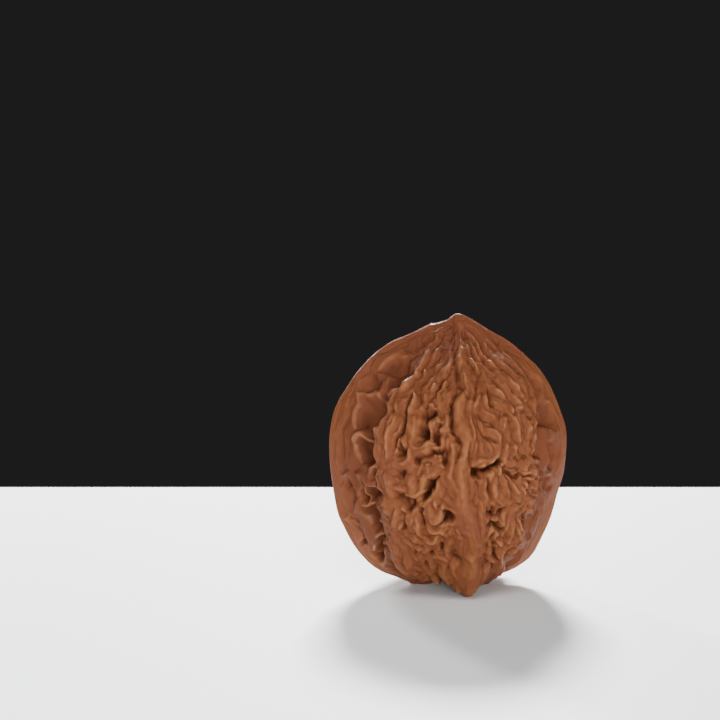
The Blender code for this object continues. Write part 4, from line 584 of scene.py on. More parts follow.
# %% Grooves, cut sharp
GROOVES = [
    (0.4, 0.35, (-10.4, 39.0), (-12.4, 37.6), (-13.6, 35.2), (-14.8, 33.6), (-15.8, 32.0), (-16.3, 30.8),
     (-16.5, 28.6), (-16.2, 26.6), (-15.9, 24.8)),
    (1.3, 0.45, (1.1, 31.0), (0.9, 30.0), (0.5, 29.0), (0.2, 28.0), (0.2, 26.6), (0.3, 25.2), (0.9, 24.5),
     (1.8, 23.3)),
    (0.9, 0.40, (0.3, 35.4), (-0.4, 34.0), (-1.0, 33.1), (-1.5, 32.0), (-2.0, 31.1), (-2.6, 30.4)),
    (0.9, 0.40, (1.3, 35.7), (1.2, 34.4), (1.2, 33.2), (1.5, 32.3), (2.1, 31.5), (2.7, 30.7)),
    (0.7, 0.35, (3.0, 37.0), (3.8, 35.7), (4.4, 34.8), (4.6, 33.8), (4.5, 32.6), (4.3, 31.4),
     (3.8, 30.3)),
    (0.5, 0.30, (2.9, 34.2), (3.1, 33.0), (3.2, 31.8)),
    (0.6, 0.40, (0.7, 39.0), (0.8, 37.6), (0.9, 36.2)),
    (0.8, 0.35, (-4.3, 40.0), (-4.3, 39.0), (-4.3, 38.0), (-4.5, 37.4)),
    (0.6, 0.35, (-5.7, 40.0), (-5.5, 39.0), (-5.1, 38.2), (-4.9, 37.4)),
    (0.7, 0.40, (8.0, 40.4), (8.2, 38.8), (8.9, 37.6), (9.8, 36.7), (10.7, 35.7)),
    (0.9, 0.40, (6.4, 33.9), (7.4, 32.8), (8.9, 31.4), (9.9, 30.1), (10.6, 28.8)),
    (0.6, 0.35, (8.4, 33.9), (9.5, 32.7), (10.7, 31.4), (11.6, 30.2)),
    (1.3, 0.50, (-6.2, 31.0), (-6.4, 29.6), (-6.6, 28.0), (-7.1, 26.4), (-7.7, 24.6), (-8.5, 23.2),
     (-8.8, 21.4)),
    (0.5, 0.30, (-8.6, 30.2), (-9.0, 29.0), (-9.4, 27.6)),
    (1.1, 0.50, (6.4, 32.0), (6.7, 30.8), (6.9, 29.6)),
    (0.6, 0.35, (4.2, 26.8), (4.7, 25.7), (5.4, 24.9), (6.1, 24.2), (6.8, 23.5), (7.3, 23.0)),
    (0.5, 0.30, (3.7, 27.0), (4.0, 26.0), (4.2, 25.0), (4.5, 24.0), (4.8, 23.0)),
    (1.2, 0.50, (10.7, 28.4), (10.9, 27.2), (11.3, 25.9), (11.6, 25.1)),
    (0.8, 0.35, (7.8, 18.2), (7.9, 17.0), (8.3, 15.9)),
    (0.9, 0.45, (6.1, 17.4), (6.4, 15.6), (6.6, 14.4)),
    (1.1, 0.45, (6.6, 8.5), (6.9, 7.2), (7.0, 6.3), (7.3, 5.3), (7.6, 4.5)),
    (1.1, 0.45, (-4.3, 12.8), (-4.2, 11.6), (-4.1, 10.2)),
    (0.8, 0.35, (-4.2, 19.6), (-4.5, 18.2), (-4.8, 17.0)),
    (0.7, 0.35, (2.0, 23.0), (1.9, 22.0), (1.5, 21.0), (1.2, 20.2)),
    (0.7, 0.35, (3.2, 23.0), (3.3, 21.5), (3.4, 20.3), (3.6, 19.2)),
    (0.3, 0.50, (0.5, 3.7), (0.4, 2.4), (0.3, 1.2)),
    (0.5, 0.35, (-16.3, 28.4), (-16.3, 27.0), (-16.1, 25.6)),
    (0.5, 0.35, (-17.4, 24.4), (-17.5, 23.0), (-17.4, 21.8)),
]

# %% The front's foot
# In the walnut's own frame, not on the card: half-width in mm, then the crest's points (x, y, z)
FEET = [
    ((1.3, 1.4, 1.2, 0.9), (1.5, -15.4, 7.4), (1.5, -13.4, 4.6), (1.6, -11.9, 2.7), (1.8, -10.8, 1.2),
     (1.9, -9.8, 0.2), (2.0, -8.6, -0.5)),
    ((1.2, 1.1), (-0.8, -13.6, 6.0), (-0.5, -12.2, 3.9), (0.0, -11.0, 2.2), (0.6, -9.8, 0.9)),
    ((1.2, 1.0), (-2.6, -13.2, 6.0), (-2.3, -12.2, 4.5), (-1.7, -11.0, 3.2), (-1.0, -10.0, 2.2)),
    ((1.0, 0.8), (4.0, -12.8, 4.8), (3.6, -11.4, 2.8), (3.0, -10.0, 1.3)),
]
print(len(PITS), "pits,", len(GROOVES), "grooves and", len(FEET), "ridges of the foot")

# %% [markdown]
# ## From the card to the shell
#
# Each drawn point is sent along its sight line until it meets the body, which is what the eye did the
# other way round. The photo shows nothing of the back, but a nut has the same kind of folds on both
# halves. So the back takes the front's lines turned half round, and a slow random drift moves them so
# that no two are alike.

# %% Lines on the body
RANDOM_SEED = 11
BACK_WANDER = 1.1
BACK_WANDER_LENGTH = 13.0


def shake(points, wavelength, seed, waves=14):
    """A smooth random field of three numbers at each point, about 1 in size."""
    rng = np.random.default_rng(seed)
    heading = rng.normal(size=(waves, 3))
    heading *= (2 * math.pi / wavelength) / np.linalg.norm(heading, axis=1)[:, None]
    phase = rng.uniform(0, 2 * math.pi, size=(waves, 3))
    field = np.zeros((len(points), 3))
    for wave, shift in zip(heading, phase):
        field += np.sin((points @ wave)[:, None] + shift)
    return field * math.sqrt(2 / waves)


def smooth_line(points):
    """Twice as many points, on a smooth curve through the first ones."""
    if len(points) < 3:
        return points
    ends = np.vstack([2 * points[0] - points[1], points, 2 * points[-1] - points[-2]])
    middles = (9 * (ends[1:-2] + ends[2:-1]) - ends[:-3] - ends[3:]) / 16
    out = np.empty((2 * len(points) - 1, 3))
    out[::2] = points
    out[1::2] = middles
    return out


def cast_lines(lines, calm=0.0):
    """The front's lines, carried from the card to the body. A calm one gets no knobs or small folds."""
    cast = []
    for size, width, *marks in lines:
        hits = [coarse_body.ray_cast(EYE, sight_line(u, v))[0] for u, v in marks]
        found = np.array([tuple(hit) for hit in hits if hit is not None])
        if len(found) > 1:
            cast.append((size, width, calm, onto_body(smooth_line(smooth_line(found)))))
    return cast


def foot_lines():
    """The foot's lines on the body, each raised as far as its crest stands off the body."""
    lines = []
    for width, *crest in FEET:
        crest = smooth_line(smooth_line(np.array(crest)))
        foot = onto_body(crest)
        lines.append((np.linalg.norm(crest - foot, axis=1), width, 1.0, foot))
    return lines


def with_back(lines):
    """The lines and the back's: the front's, turned half round and shaken so that no two are alike."""
    turned = []
    for size, width, calm, points in lines:
        moved = points * np.array([-1.0, -1.0, 1.0])
        moved = moved + BACK_WANDER * shake(moved, BACK_WANDER_LENGTH, RANDOM_SEED)
        turned.append((size, width, calm, onto_body(moved)))
    return lines + turned


all_ridges = with_back(cast_lines(RIDGES) + cast_lines(KEEL_RIDGES, calm=1.0) + foot_lines())
all_band_ridges = with_back(cast_lines(BAND_RIDGES))
all_pits = with_back(cast_lines(PITS))
all_grooves = with_back(cast_lines(GROOVES))
print(len(all_ridges), "ridges,", len(all_pits), "pits and", len(all_grooves), "grooves on the two halves")

# %% [markdown]
# ## The relief
#
# The relief is one number for each point of the net: how far it stands off the body. It could be sculpted
# by hand, or made by a Displace modifier from a texture. Here it is worked out from the distance to each
# drawn line, so a fold can be moved by changing one row. Heights vary slowly along each line, and the
# points wander a little before that distance is taken, so that no fold has a ruled edge. Near the tip the
# shell is smoother, so the relief is lower there, and folds that spread from the tip take the place of
# the small ones.

# %% Distances to a line
def nearest_on_line(points, line):
    """Each point's distance to a chain, its place along it and aside of it, and the chain's length."""
    nearest = np.full(len(points), np.inf)
    place = np.zeros(len(points))
    aside = np.zeros(len(points))
    walked = 0.0
    for start, end in zip(line[:-1], line[1:]):
        along = end - start
        length = math.sqrt(along @ along) + 1e-9
        left = np.cross(start - CENTRE, along)
        offset = points - start
        share = np.clip(offset @ along / length**2, 0, 1)
        offset -= share[:, None] * along
        away = np.linalg.norm(offset, axis=1)
        closer = away < nearest
        nearest[closer] = away[closer]
        place[closer] = walked + share[closer] * length
        aside[closer] = offset[closer] @ left / np.linalg.norm(left)
        walked += length
    return nearest, place, aside, walked


def rounded_distance(points, line, roundness):
    """Each point's distance to a chain, blended over all of it so that no crease is left where it bends."""
    away = np.linalg.norm(points[:, None] - line, axis=2)
    spacing = np.linalg.norm(line[1:] - line[:-1], axis=1).mean()
    total = np.exp(-away / roundness).sum(axis=1) * spacing / (2 * roundness)
    return -roundness * np.log(total + 1e-12)


def near(points, line, reach):
    """Which points lie within reach of the line's own box."""
    low, high = line.min(0) - reach, line.max(0) + reach
    return np.nonzero(((points > low) & (points < high)).all(axis=1))[0]


longest = max(nearest_on_line(CENTRE[None], line)[3] for *_, line in all_ridges)
print("longest ridge:", round(longest, 1), "mm")


# %% Pits and the band's bumps
WANDER_LENGTH = 3.6
PIT_GAIN = 1.5
PIT_ROUNDNESS = 0.40
PIT_EDGE = 1.35
PIT_WALL = 1.1
PIT_WANDER = 0.35
BAND_GAIN = 0.9
BAND_WIDEN = 1.35
BAND_REACH = 2.9
BAND_TAPER = 1.5
BAND_TAPER_SHARE = 0.45
BAND_END_HEIGHT = 0.2
BAND_END_WIDTH = 0.6


def sunk_floor(floor, places):
    """The floor with its pits pressed in."""
    places = places + PIT_WANDER * shake(places, WANDER_LENGTH, RANDOM_SEED + 6)
    for depth, width, _, line in all_pits:
        found = near(places, line, PIT_EDGE * width)
        away = rounded_distance(places[found], line, PIT_ROUNDNESS * width)
        wall = smooth_step((PIT_EDGE * width - away) / min(PIT_WALL, PIT_EDGE * width))
        pressed = -PIT_GAIN * depth * wall
        floor[found] += np.minimum(pressed - np.minimum(floor[found], 0), 0)
    return floor


def band_bumps(places):
    """The low ridges of the band beside the rim, which stand on its floor."""
    bumps = np.zeros(len(places))
    for height, width, _, line in all_band_ridges:
        found = near(places, line, BAND_REACH * width)
        away, place, _, length = nearest_on_line(places[found], line)
        from_end = np.minimum(place, length - place) / min(BAND_TAPER, BAND_TAPER_SHARE * length)
        taper = smooth_step(from_end * (1 - BAND_END_HEIGHT) + BAND_END_HEIGHT)
        across = away / (BAND_WIDEN * width * (BAND_END_WIDTH + (1 - BAND_END_WIDTH) * taper))
        bumps[found] = np.maximum(bumps[found], BAND_GAIN * height * taper * np.exp(-(across**2)))
    return bumps


print("deepest pit:", PIT_GAIN * max(depth for depth, *_ in PITS), "mm")


# %% How a ridge rises along its line
RISE_LENGTH = 4.5
RISE_SHARE = 0.7
LEVEL_SLOPE = 0.35
LEVEL_FADE = 0.3
WAVE_MEAN = 0.64


def creased(turns):
    """A wave with round tops and sharp creases, about 0, that repeats with each whole turn."""
    return np.abs(np.sin(math.pi * turns)) - WAVE_MEAN


def spread_along(values, share):
    """One value, or several evenly spread along a line, read at these shares of its length."""
    return np.interp(share, np.linspace(0, 1, np.size(values)), np.atleast_1d(values))


def risen(line, place, length):
    """How far a fold has risen, 0 to 1. One that runs down the shell starts flat at its upper end."""
    drop = (line[0, 2] - line[-1, 2]) / length
    from_top = place if drop > 0 else length - place
    level = 1 - smooth_step((abs(drop) - LEVEL_SLOPE) / LEVEL_FADE)
    return level + (1 - level) * smooth_step(from_top / min(RISE_LENGTH, RISE_SHARE * length))


print("a wave's range:", creased(0.0).round(2), "to", creased(0.5).round(2))

# %% Crests of the ridges
UNDER_ANY_FLOOR = -4.0
RIDGE_REACH = 3.0
WIDEN = 1.25
SHARPEST_CREST = 1.10
ROUNDEST_CREST = 1.60
FLANK_STEEPER = 2.5
FLANK_POWER = 1.5
LEAN = 0.28
TAPER_WIDTHS = 2.6
TAPER_SHARE = 0.48
END_HEIGHT = 0.08
END_WIDTH = 0.65
END_DROP = 0.3
UPPER_END_HEIGHT = 0.25
UPPER_END_WIDTH = 0.6
WIDTH_VARIES = 0.07
WIDTH_WAVE = 0.9
STRANDS = 0.24
STRAND_PITCH = 0.75
STRAND_SHIFT = 0.37
STRAND_SWAY = 0.25
STRAND_SWAY_LENGTH = 2.3
CALM_STRANDS_LOST = 0.45
MERGE = 0.16
CALM_MERGE = 0.45
# Steps that never fall into a rhythm from one ridge to the next
GOLDEN_ANGLE = 2.4
GOLDEN_SHARE = 0.618


def ridge_crests(places, gain, calm_gain):
    """The highest ridge at each point: its height, the point's distance aside of it, and how calm it is."""
    crest = np.full(len(places), UNDER_ANY_FLOOR)
    strand = np.abs(places[:, 1])
    calmness = np.zeros(len(places))
    for number, (height, width, calm, line) in enumerate(all_ridges):
        widest = WIDEN * np.max(width)
        found = near(places, line, RIDGE_REACH * widest)
        away, place, aside, length = nearest_on_line(places[found], line)
        from_end = np.minimum(place, length - place) / min(TAPER_WIDTHS * widest, TAPER_SHARE * length)
        taper = smooth_step(from_end * (1 - END_HEIGHT) + END_HEIGHT)
        rise = risen(line, place, length) if calm == 0 and np.size(height) == 1 else 1.0
        wide = WIDEN * spread_along(width, place / length) * (END_WIDTH + (1 - END_WIDTH) * taper)
        wide *= UPPER_END_WIDTH + (1 - UPPER_END_WIDTH) * rise
        wide *= 1 + WIDTH_VARIES * (1 - calm) * np.sin(place / WIDTH_WAVE + GOLDEN_ANGLE * number)
        wide *= 1 + LEAN * (1 - calm) * math.sin(GOLDEN_ANGLE * number) * np.clip(aside / wide, -1, 1)
        across = away / wide
        sway = STRAND_SWAY * np.sin(place / STRAND_SWAY_LENGTH + number)
        turns = aside / STRAND_PITCH + STRAND_SHIFT * number + sway
        lift = gain[found] * (1 - calm) + calm_gain[found] * calm
        streak = STRANDS * (1 - CALM_STRANDS_LOST * calm) * min(widest, 1.0) * lift**2
        streak = streak * creased(turns) * np.exp(-(across**2))
        power = SHARPEST_CREST + (ROUNDEST_CREST - SHARPEST_CREST) * (GOLDEN_SHARE * number % 1)
        flank = across**power + FLANK_STEEPER * np.maximum(across - 1, 0) ** FLANK_POWER
        upper_end = UPPER_END_HEIGHT + (1 - UPPER_END_HEIGHT) * rise
        lift *= (1 - END_DROP * (1 - taper) * (1 - calm)) * upper_end
        top = spread_along(height, place / length) * lift + streak - flank
        merge = MERGE + (CALM_MERGE - MERGE) * calm
        mix = np.clip(0.5 + 0.5 * (top - crest[found]) / merge, 0, 1)
        strand[found] = np.where(mix > 0.5, aside, strand[found])
        calmness[found] += (calm - calmness[found]) * mix
        crest[found] += (top - crest[found]) * mix + merge * mix * (1 - mix)
    return crest, strand, calmness


print("widest ridge's half-width:", WIDEN * max(np.max(width) for _, width, *_ in all_ridges), "mm")


# %% Small folds between the ridges
TIP_ASIDE = 1.2
AXIS_HALF_WIDTH = 0.5
BODY_RADIUS = 18.0
FOLDS_CYLINDER_RADIUS = 13.0
FOLDS_STRETCH = 0.13
FOLDS_SWAY = 0.35
FOLDS_SWAY_LENGTH = 7.0
FOLDS_MEAN = 0.7
FOLDS_FULL_RADIUS = 9.0


def small_folds(places, pitch):
    """Small folds that run down from the tip and spread: round on top, with sharp creases, about 0."""
    rays = places - CENTRE
    rays[:, 0] -= TIP_ASIDE * np.clip(rays[:, 2] / CENTRE_Z, 0, 1)
    off_axis = np.hypot(rays[:, 0], rays[:, 1]) + AXIS_HALF_WIDTH
    down = BODY_RADIUS * np.arctan2(off_axis, rays[:, 2])
    spread = FOLDS_CYLINDER_RADIUS / off_axis
    drawn_out = np.stack([rays[:, 0] * spread, rays[:, 1] * spread, FOLDS_STRETCH * down], axis=1)
    drawn_out += FOLDS_SWAY * shake(places, FOLDS_SWAY_LENGTH, RANDOM_SEED + 8)
    folds = np.abs(shake(drawn_out, pitch, RANDOM_SEED + 5)[:, 0]) - FOLDS_MEAN
    return folds * np.clip(off_axis / FOLDS_FULL_RADIUS, 0, 1)


sample = small_folds(body_points(coarse_directions), 1.5)
print("small folds on the coarse net:", sample.min().round(1), "to", sample.max().round(1))


# %% The floor that the ridges stand on
SMOOTH_TIP_Z = 44.0
SMOOTH_TIP_FADE = 9.0
TIP_SHARE_OF_RELIEF = 0.45
FOOT_SHARE_OF_RELIEF = 0.3
FOOT_FADE = 4
BELLY_FLOOR = 0.72
BAND_FLOOR = 0.15
BAND_SWELLS = 0.08
BAND_SWELL_LENGTH = 4.5
RIM_EDGE = 1.2
RIM_EDGE_FADE = 2.5


def fades(base):
    """How far each point is below the tip, 0 to 1, and how much relief is left near tip and floor."""
    below_tip = smooth_step((SMOOTH_TIP_Z - base[:, 2]) / SMOOTH_TIP_FADE)
    low_near_tip = TIP_SHARE_OF_RELIEF + (1 - TIP_SHARE_OF_RELIEF) * below_tip
    off_floor = smooth_step(base[:, 2] / FOOT_FADE)
    low_near_floor = FOOT_SHARE_OF_RELIEF + (1 - FOOT_SHARE_OF_RELIEF) * off_floor
    return below_tip, low_near_tip, low_near_floor


def relief_floor(base, places, belly):
    """The floor of belly and band with its swells, pits and the band's bumps."""
    below_tip, low_near_tip, low_near_floor = fades(base)
    off_rim = smooth_step((np.abs(base[:, 1]) - RIM_EDGE) / RIM_EDGE_FADE)
    swells = BAND_SWELLS * shake(base, BAND_SWELL_LENGTH, RANDOM_SEED + 7)[:, 0] * off_rim
    floor = (BAND_FLOOR + swells + (BELLY_FLOOR - BAND_FLOOR) * belly) * below_tip
    return (sunk_floor(floor, places) + band_bumps(places) * low_near_tip) * low_near_floor


print("the belly's floor is", round(BELLY_FLOOR - BAND_FLOOR, 2), "mm above the band's")


# %% Fine relief and grooves
SMALL_FOLDS = 0.30
SMALL_FOLD_PITCH = 1.5
SMALL_FOLDS_START_Z = 4.0
SMALL_FOLDS_END_Z = 39.5
SMALL_FOLDS_FADE = 8.0
SMALL_FOLDS_LOST = 0.65
TIP_FOLDS = 0.30
TIP_FOLD_PITCH = 3.6
TIP_FOLDS_START_Z = 33.0
TIP_FOLDS_START_FADE = 4
TIP_FOLDS_END_Z = 44.0
TIP_FOLDS_END_FADE = 2
TIP_FOLDS_LOST = 0.5
RIM_WRINKLES = 0.06
RIM_WRINKLE_PITCH = 1.5
RIM_WRINKLE_STRETCH = np.array([0.2, 1.0, 0.2])
GROOVE_POWER = 1.3


def with_small_folds(height, base, places, belly, calmness, mix):
    """The height with its small folds, which are lower where a ridge stands, and the rim's wrinkles."""
    low_near_tip = fades(base)[1]
    above_base = smooth_step((base[:, 2] - SMALL_FOLDS_START_Z) / SMALL_FOLDS_FADE)
    under_tip = smooth_step((SMALL_FOLDS_END_Z - base[:, 2]) / SMALL_FOLDS_FADE)
    folds = small_folds(places, SMALL_FOLD_PITCH) * belly * under_tip * above_base * (1 - calmness * mix)
    height = height + SMALL_FOLDS * folds * (1 - SMALL_FOLDS_LOST * mix) * low_near_tip
    at_tip = smooth_step((base[:, 2] - TIP_FOLDS_START_Z) / TIP_FOLDS_START_FADE)
    at_tip = at_tip * smooth_step((TIP_FOLDS_END_Z - base[:, 2]) / TIP_FOLDS_END_FADE)
    height += TIP_FOLDS * small_folds(places, TIP_FOLD_PITCH) * at_tip * belly * (1 - TIP_FOLDS_LOST * mix)
    wrinkles = shake(places * RIM_WRINKLE_STRETCH, RIM_WRINKLE_PITCH, RANDOM_SEED + 9)[:, 0]
    return height + RIM_WRINKLES * wrinkles * (1 - belly)


def groove_depth(places):
    cut = np.zeros(len(places))
    for depth, width, _, line in all_grooves:
        found = near(places, line, width)
        away = nearest_on_line(places[found], line)[0] / width
        cut[found] = np.maximum(cut[found], depth * np.clip(1 - away, 0, 1) ** GROOVE_POWER)
    return cut


# %% Height of each point
FILLET = 0.20
BAND_SHARE_OF_RELIEF = 0.60
WANDER = 0.14
JITTER = 0.04
JITTER_LENGTH = 1.4
KNOB_SHARE = 0.14
KNOB_LENGTH = 2.6
KNOB_STRETCH = np.array([1.0, 1.0, 0.5])


def relief(base, belly):
    """How far each point of the body is raised, and how far aside of a ridge's line it lies, in mm."""
    places = base + WANDER * shake(base, WANDER_LENGTH, RANDOM_SEED + 1)
    places += JITTER * shake(base, JITTER_LENGTH, RANDOM_SEED + 4)
    knobs = 1 + KNOB_SHARE * shake(base * KNOB_STRETCH, KNOB_LENGTH, RANDOM_SEED + 2)[:, 0]
    _, low_near_tip, low_near_floor = fades(base)
    floor = relief_floor(base, places, belly)
    off_seam = smooth_step(np.abs(base[:, 1]) / RIM_HALF_WIDTH)
    calm_gain = low_near_tip * off_seam * (BAND_SHARE_OF_RELIEF + (1 - BAND_SHARE_OF_RELIEF) * belly)
    crest, strand, calmness = ridge_crests(places, calm_gain * knobs * low_near_floor, calm_gain)
    # A soft maximum, so that a ridge runs into the floor in a small fillet
    mix = np.clip(0.5 + 0.5 * (crest - floor) / FILLET, 0, 1)
    height = floor + (crest - floor) * mix + FILLET * mix * (1 - mix)
    height = with_small_folds(height, base, places, belly, calmness, mix)
    return height - groove_depth(places) * low_near_tip, strand


# %% [markdown]
# ## The shell's mesh
#
# The relief only moves points straight out, and real folds bulge over their creases. So the body starts a
# touch thin, and the finished surface is then blown out along its own normals, which rounds its crests
# and narrows its creases. What would reach under the floor is pressed flat. Last, a Decimate modifier
# takes faces away where the surface is flat and keeps them where it bends.

# %% Shell
NET_CELLS = 200
PUFF = 0.07
TRIANGLES = 190000
FINE_WRINKLES = 0.05
FINE_WRINKLE_LENGTH = 1.1


def evened(values, quads, rounds):
    """The values averaged with their neighbours', again and again."""
    corners = quads.ravel()
    count = np.bincount(corners, minlength=len(values))
    for _ in range(rounds):
        faces = values[quads].mean(axis=1)
        values = np.bincount(corners, np.repeat(faces, 4), len(values)) / count
    return values


def normals_of(points, quads):
    """Each point's outward normal."""
    one, two, three, four = [points[quads[:, i]] for i in range(4)]
    faces = np.cross(three - one, four - two)
    normals = np.zeros_like(points)
    for axis in range(3):
        spread = np.repeat(faces[:, axis], 4)
        normals[:, axis] = np.bincount(quads.ravel(), spread, len(points))
    return normals / np.linalg.norm(normals, axis=1)[:, None]


directions, quads = ball_net(NET_CELLS)
base = body_points(directions)
belly = belly_share(directions)
raised, strand = relief(base, belly)
raised += FINE_WRINKLES * shake(base, FINE_WRINKLE_LENGTH, RANDOM_SEED + 3)[:, 1] * belly
seam = SEAM_DEPTH * np.exp(-((base[:, 1] / SEAM_HALF_WIDTH) ** 2))
raised = evened(raised, quads, 1) - seam
points = base + directions * (raised - PUFF)[:, None]
points += PUFF * normals_of(points, quads)
points[:, 2] = np.maximum(points[:, 2], 0.0)
print("net:", len(points), "points; relief", round(raised.min(), 2), "to", round(raised.max(), 2), "mm")

# %% Fewer faces, and into place
def thin_out(obj, triangles):
    """Fewer faces, kept where the surface bends most."""
    modifier = obj.modifiers.new("fewer faces", "DECIMATE")
    modifier.ratio = triangles / (2 * len(obj.data.polygons))
    graph = bpy.context.evaluated_depsgraph_get()
    obj.data = bpy.data.meshes.new_from_object(obj.evaluated_get(graph))
    obj.modifiers.clear()


solid_low, solid_high = [np.array(corner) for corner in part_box("walnut")]
own_low, own_high = points.min(0) * MM, points.max(0) * MM
shift = (solid_low + solid_high - own_low - own_high) / 2
shift[2] = solid_low[2]
shell = bpy.data.objects.new("walnut_shell", mesh_of("walnut_shell", points * MM + shift, quads))
bpy.context.scene.collection.objects.link(shell)
thin_out(shell, TRIANGLES)
shell.data.shade_smooth()
print("shell:", len(shell.data.polygons), "faces; shifted", (shift * 1000).round(2).tolist(), "mm")

# %% [markdown]
# ## What the finish needs to know
#
# Polish makes the crests smoother. The colour paints them lighter, partly wear and partly painted
# highlight, and paints the hollows darker as painted shade. A node can't ask how deep a point lies, so that
# is measured on the net and stored on the mesh as numbers the material can read: how far a point stands
# above or below its surroundings, near by and further off. The distance aside of the nearest fold's line
# is stored too, because the shell's threads run along its folds.

# %% Crest and hollow, stored on the mesh
NEAR_ROUNDS = 10
FAR_ROUNDS = 110
EDGE_HALF_WIDTH = 0.8
BAND_TONE_START = 1.5
BAND_TONE_FADE = 3.0
TIP_TONE_START_Z = 33.0
TIP_TONE_FADE = 9.0


def store(obj, name, values):
    attribute = obj.data.attributes.new(name, "FLOAT", "POINT")
    attribute.data.foreach_set("value", np.ascontiguousarray(values, np.float32))


def nearest_in(places, obj):
    """For each vertex of the object, which of the places is nearest."""
    tree = KDTree(len(places))
    for index, place in enumerate(places):
        tree.insert(place, index)
    tree.balance()
    return np.array([tree.find(vertex.co)[1] for vertex in obj.data.vertices])


stand_off = np.linalg.norm(points - CENTRE, axis=1) - np.linalg.norm(base - CENTRE, axis=1)
near_by = stand_off - evened(stand_off, quads, NEAR_ROUNDS)
further = stand_off - evened(stand_off, quads, FAR_ROUNDS)
match = nearest_in(points * MM + shift, shell)
store(shell, "near_by", near_by[match])
store(shell, "further", further[match])
store(shell, "strand", strand[match] * MM)
# The band mask also sets where the colour paints shade beside the rim.
from_rim = smooth_step((np.abs(base[:, 1]) - BAND_TONE_START) / BAND_TONE_FADE)
store(shell, "band", ((1 - belly) * from_rim)[match])
# The tip mask sets where the colour paints the tip a darker plum, partly tone and partly painted shade.
store(shell, "tip", smooth_step((base[:, 2] - TIP_TONE_START_Z) / TIP_TONE_FADE)[match])
store(shell, "edge", np.exp(-((base[:, 1] / EDGE_HALF_WIDTH) ** 2))[match])
print("spread near by", near_by.std().round(3), "mm; further off", further.std().round(3), "mm")

# %% [markdown]
# ## Writing a material as sums
#
# A material is a small calculation at every point: noise plus height, clipped, turned into a colour.
# Nodes can say that, but a page of links is hard to read. So one small class wraps a node's output and
# lets Python's own signs make the Math nodes, and one method makes any other node.

# %% A socket that can be added and multiplied
class Wire:
    """A node's output, which Python's signs turn into Math nodes."""

    def __init__(self, sheet, socket):
        self.sheet = sheet
        self.socket = socket

    def math(self, operation, *values):
        return self.sheet.node("ShaderNodeMath", {"operation": operation}, dict(enumerate(values)))

    def __add__(self, other):
        return self.math("ADD", self, other)

    def __radd__(self, other):
        return self.math("ADD", other, self)

    def __sub__(self, other):
        return self.math("SUBTRACT", self, other)

    def __rsub__(self, other):
        return self.math("SUBTRACT", other, self)

    def __mul__(self, other):
        return self.math("MULTIPLY", self, other)

    def __rmul__(self, other):
        return self.math("MULTIPLY", other, self)

    def step(self, low, high):
        """0 below low, 1 above high, and a smooth rise between them."""
        settings = {"interpolation_type": "SMOOTHSTEP"}
        inputs = {"Value": self, "From Min": low, "From Max": high}
        return self.sheet.node("ShaderNodeMapRange", settings, inputs)


print("signs that make nodes:", [name for name in vars(Wire) if name.endswith(("add__", "sub__", "mul__"))])


# %% The nodes of one material
class Sheet:
    """The nodes of one material."""

    def __init__(self, name):
        self.material = bpy.data.materials.new(name)
        self.material.use_nodes = True
        self.tree = self.material.node_tree
        self.shader = self.tree.nodes["Principled BSDF"]

    def node(self, kind, settings=None, inputs=None, output=0):
        """Any node: its settings first, then the values or wires of its sockets."""
        made = self.tree.nodes.new(kind)
        for name, value in (settings or {}).items():
            setattr(made, name, value)
        for name, value in (inputs or {}).items():
            self.join(value, made.inputs[name])
        return Wire(self, made.outputs[output])

    def join(self, value, socket):
        if isinstance(value, Wire):
            self.tree.links.new(value.socket, socket)
        else:
            socket.default_value = value

    def mix(self, share, low, high):
        """A colour between two, as wires or plain colours."""
        colours = {0: share, 6: low, 7: high}
        return self.node("ShaderNodeMix", {"data_type": "RGBA"}, colours, output=2)

    def stored(self, name):
        return self.node("ShaderNodeAttribute", {"attribute_name": name}, output=2)

    def noise(self, place, size_mm, detail=3.0):
        """Noise about a middle of 0.5, with spots of this size."""
        inputs = {"Vector": place, "Scale": 1000 / size_mm, "Detail": detail}
        return self.node("ShaderNodeTexNoise", None, inputs)

    def set(self, **values):
        """Values or wires for the shader's own sockets, with _ for a space in their names."""
        for name, value in values.items():
            self.join(value, self.shader.inputs[name.replace("_", " ")])


def colour(red, green, blue):
    return (red, green, blue, 1.0)


# %% [markdown]
# ## Shell polished by handling
#
# The wood of the shell is red-brown. Months of rolling in the hand rub oil into it: crests are smoother
# and hollows are dull. Light and shade are painted into the colour as well: crests and thin edges are
# painted lighter, partly wear and partly painted highlight; hollows, creases and the band beside the rim
# are painted darker as painted shade; and the smooth tip is painted a dark plum, partly its own cool tone
# and partly painted shade. Broad patches elsewhere have a plum tone of their own. Fine flecks and threads
# along the folds show all over. Colour and roughness come from the stored heights, with noise at three
# sizes so that nothing repeats. A thin clear coat on the crests and the rim's edge gives the wax its
# small, sharper highlight.

# %% Shell finish
# Painted shade: the darkest colour, laid in hollows and creases.
PAINTED_HOLLOW_SHADE = colour(0.078, 0.022, 0.010)
DEEP_WOOD = colour(0.116, 0.036, 0.017)
RED_WOOD = colour(0.158, 0.052, 0.022)
# Partly wear, partly painted highlight: the lighter colour of the crests.
WORN_CREST_AND_HIGHLIGHT = colour(0.225, 0.082, 0.034)
# Partly rubbed wear, partly painted highlight: the lightest colour, on thin raised edges.
RUBBED_EDGE_HIGHLIGHT = colour(0.275, 0.112, 0.046)
PLUM = colour(0.145, 0.044, 0.026)
# Partly the tip's own cool plum tone, partly painted shade: the tip's darker colour.
TIP_PLUM_AND_SHADE = colour(0.125, 0.036, 0.020)
PATCH_MM = 9.0
FLECK_MM = 1.2
THREAD_MM = 0.55
THREAD_ALONG = 0.14
NEAR_BY_WEIGHT = 0.9
PATCH_WEIGHT = 0.5
FLECK_WEIGHT = 0.35
PLUM_SHARE = 0.45
THREAD_SHADE = 0.45
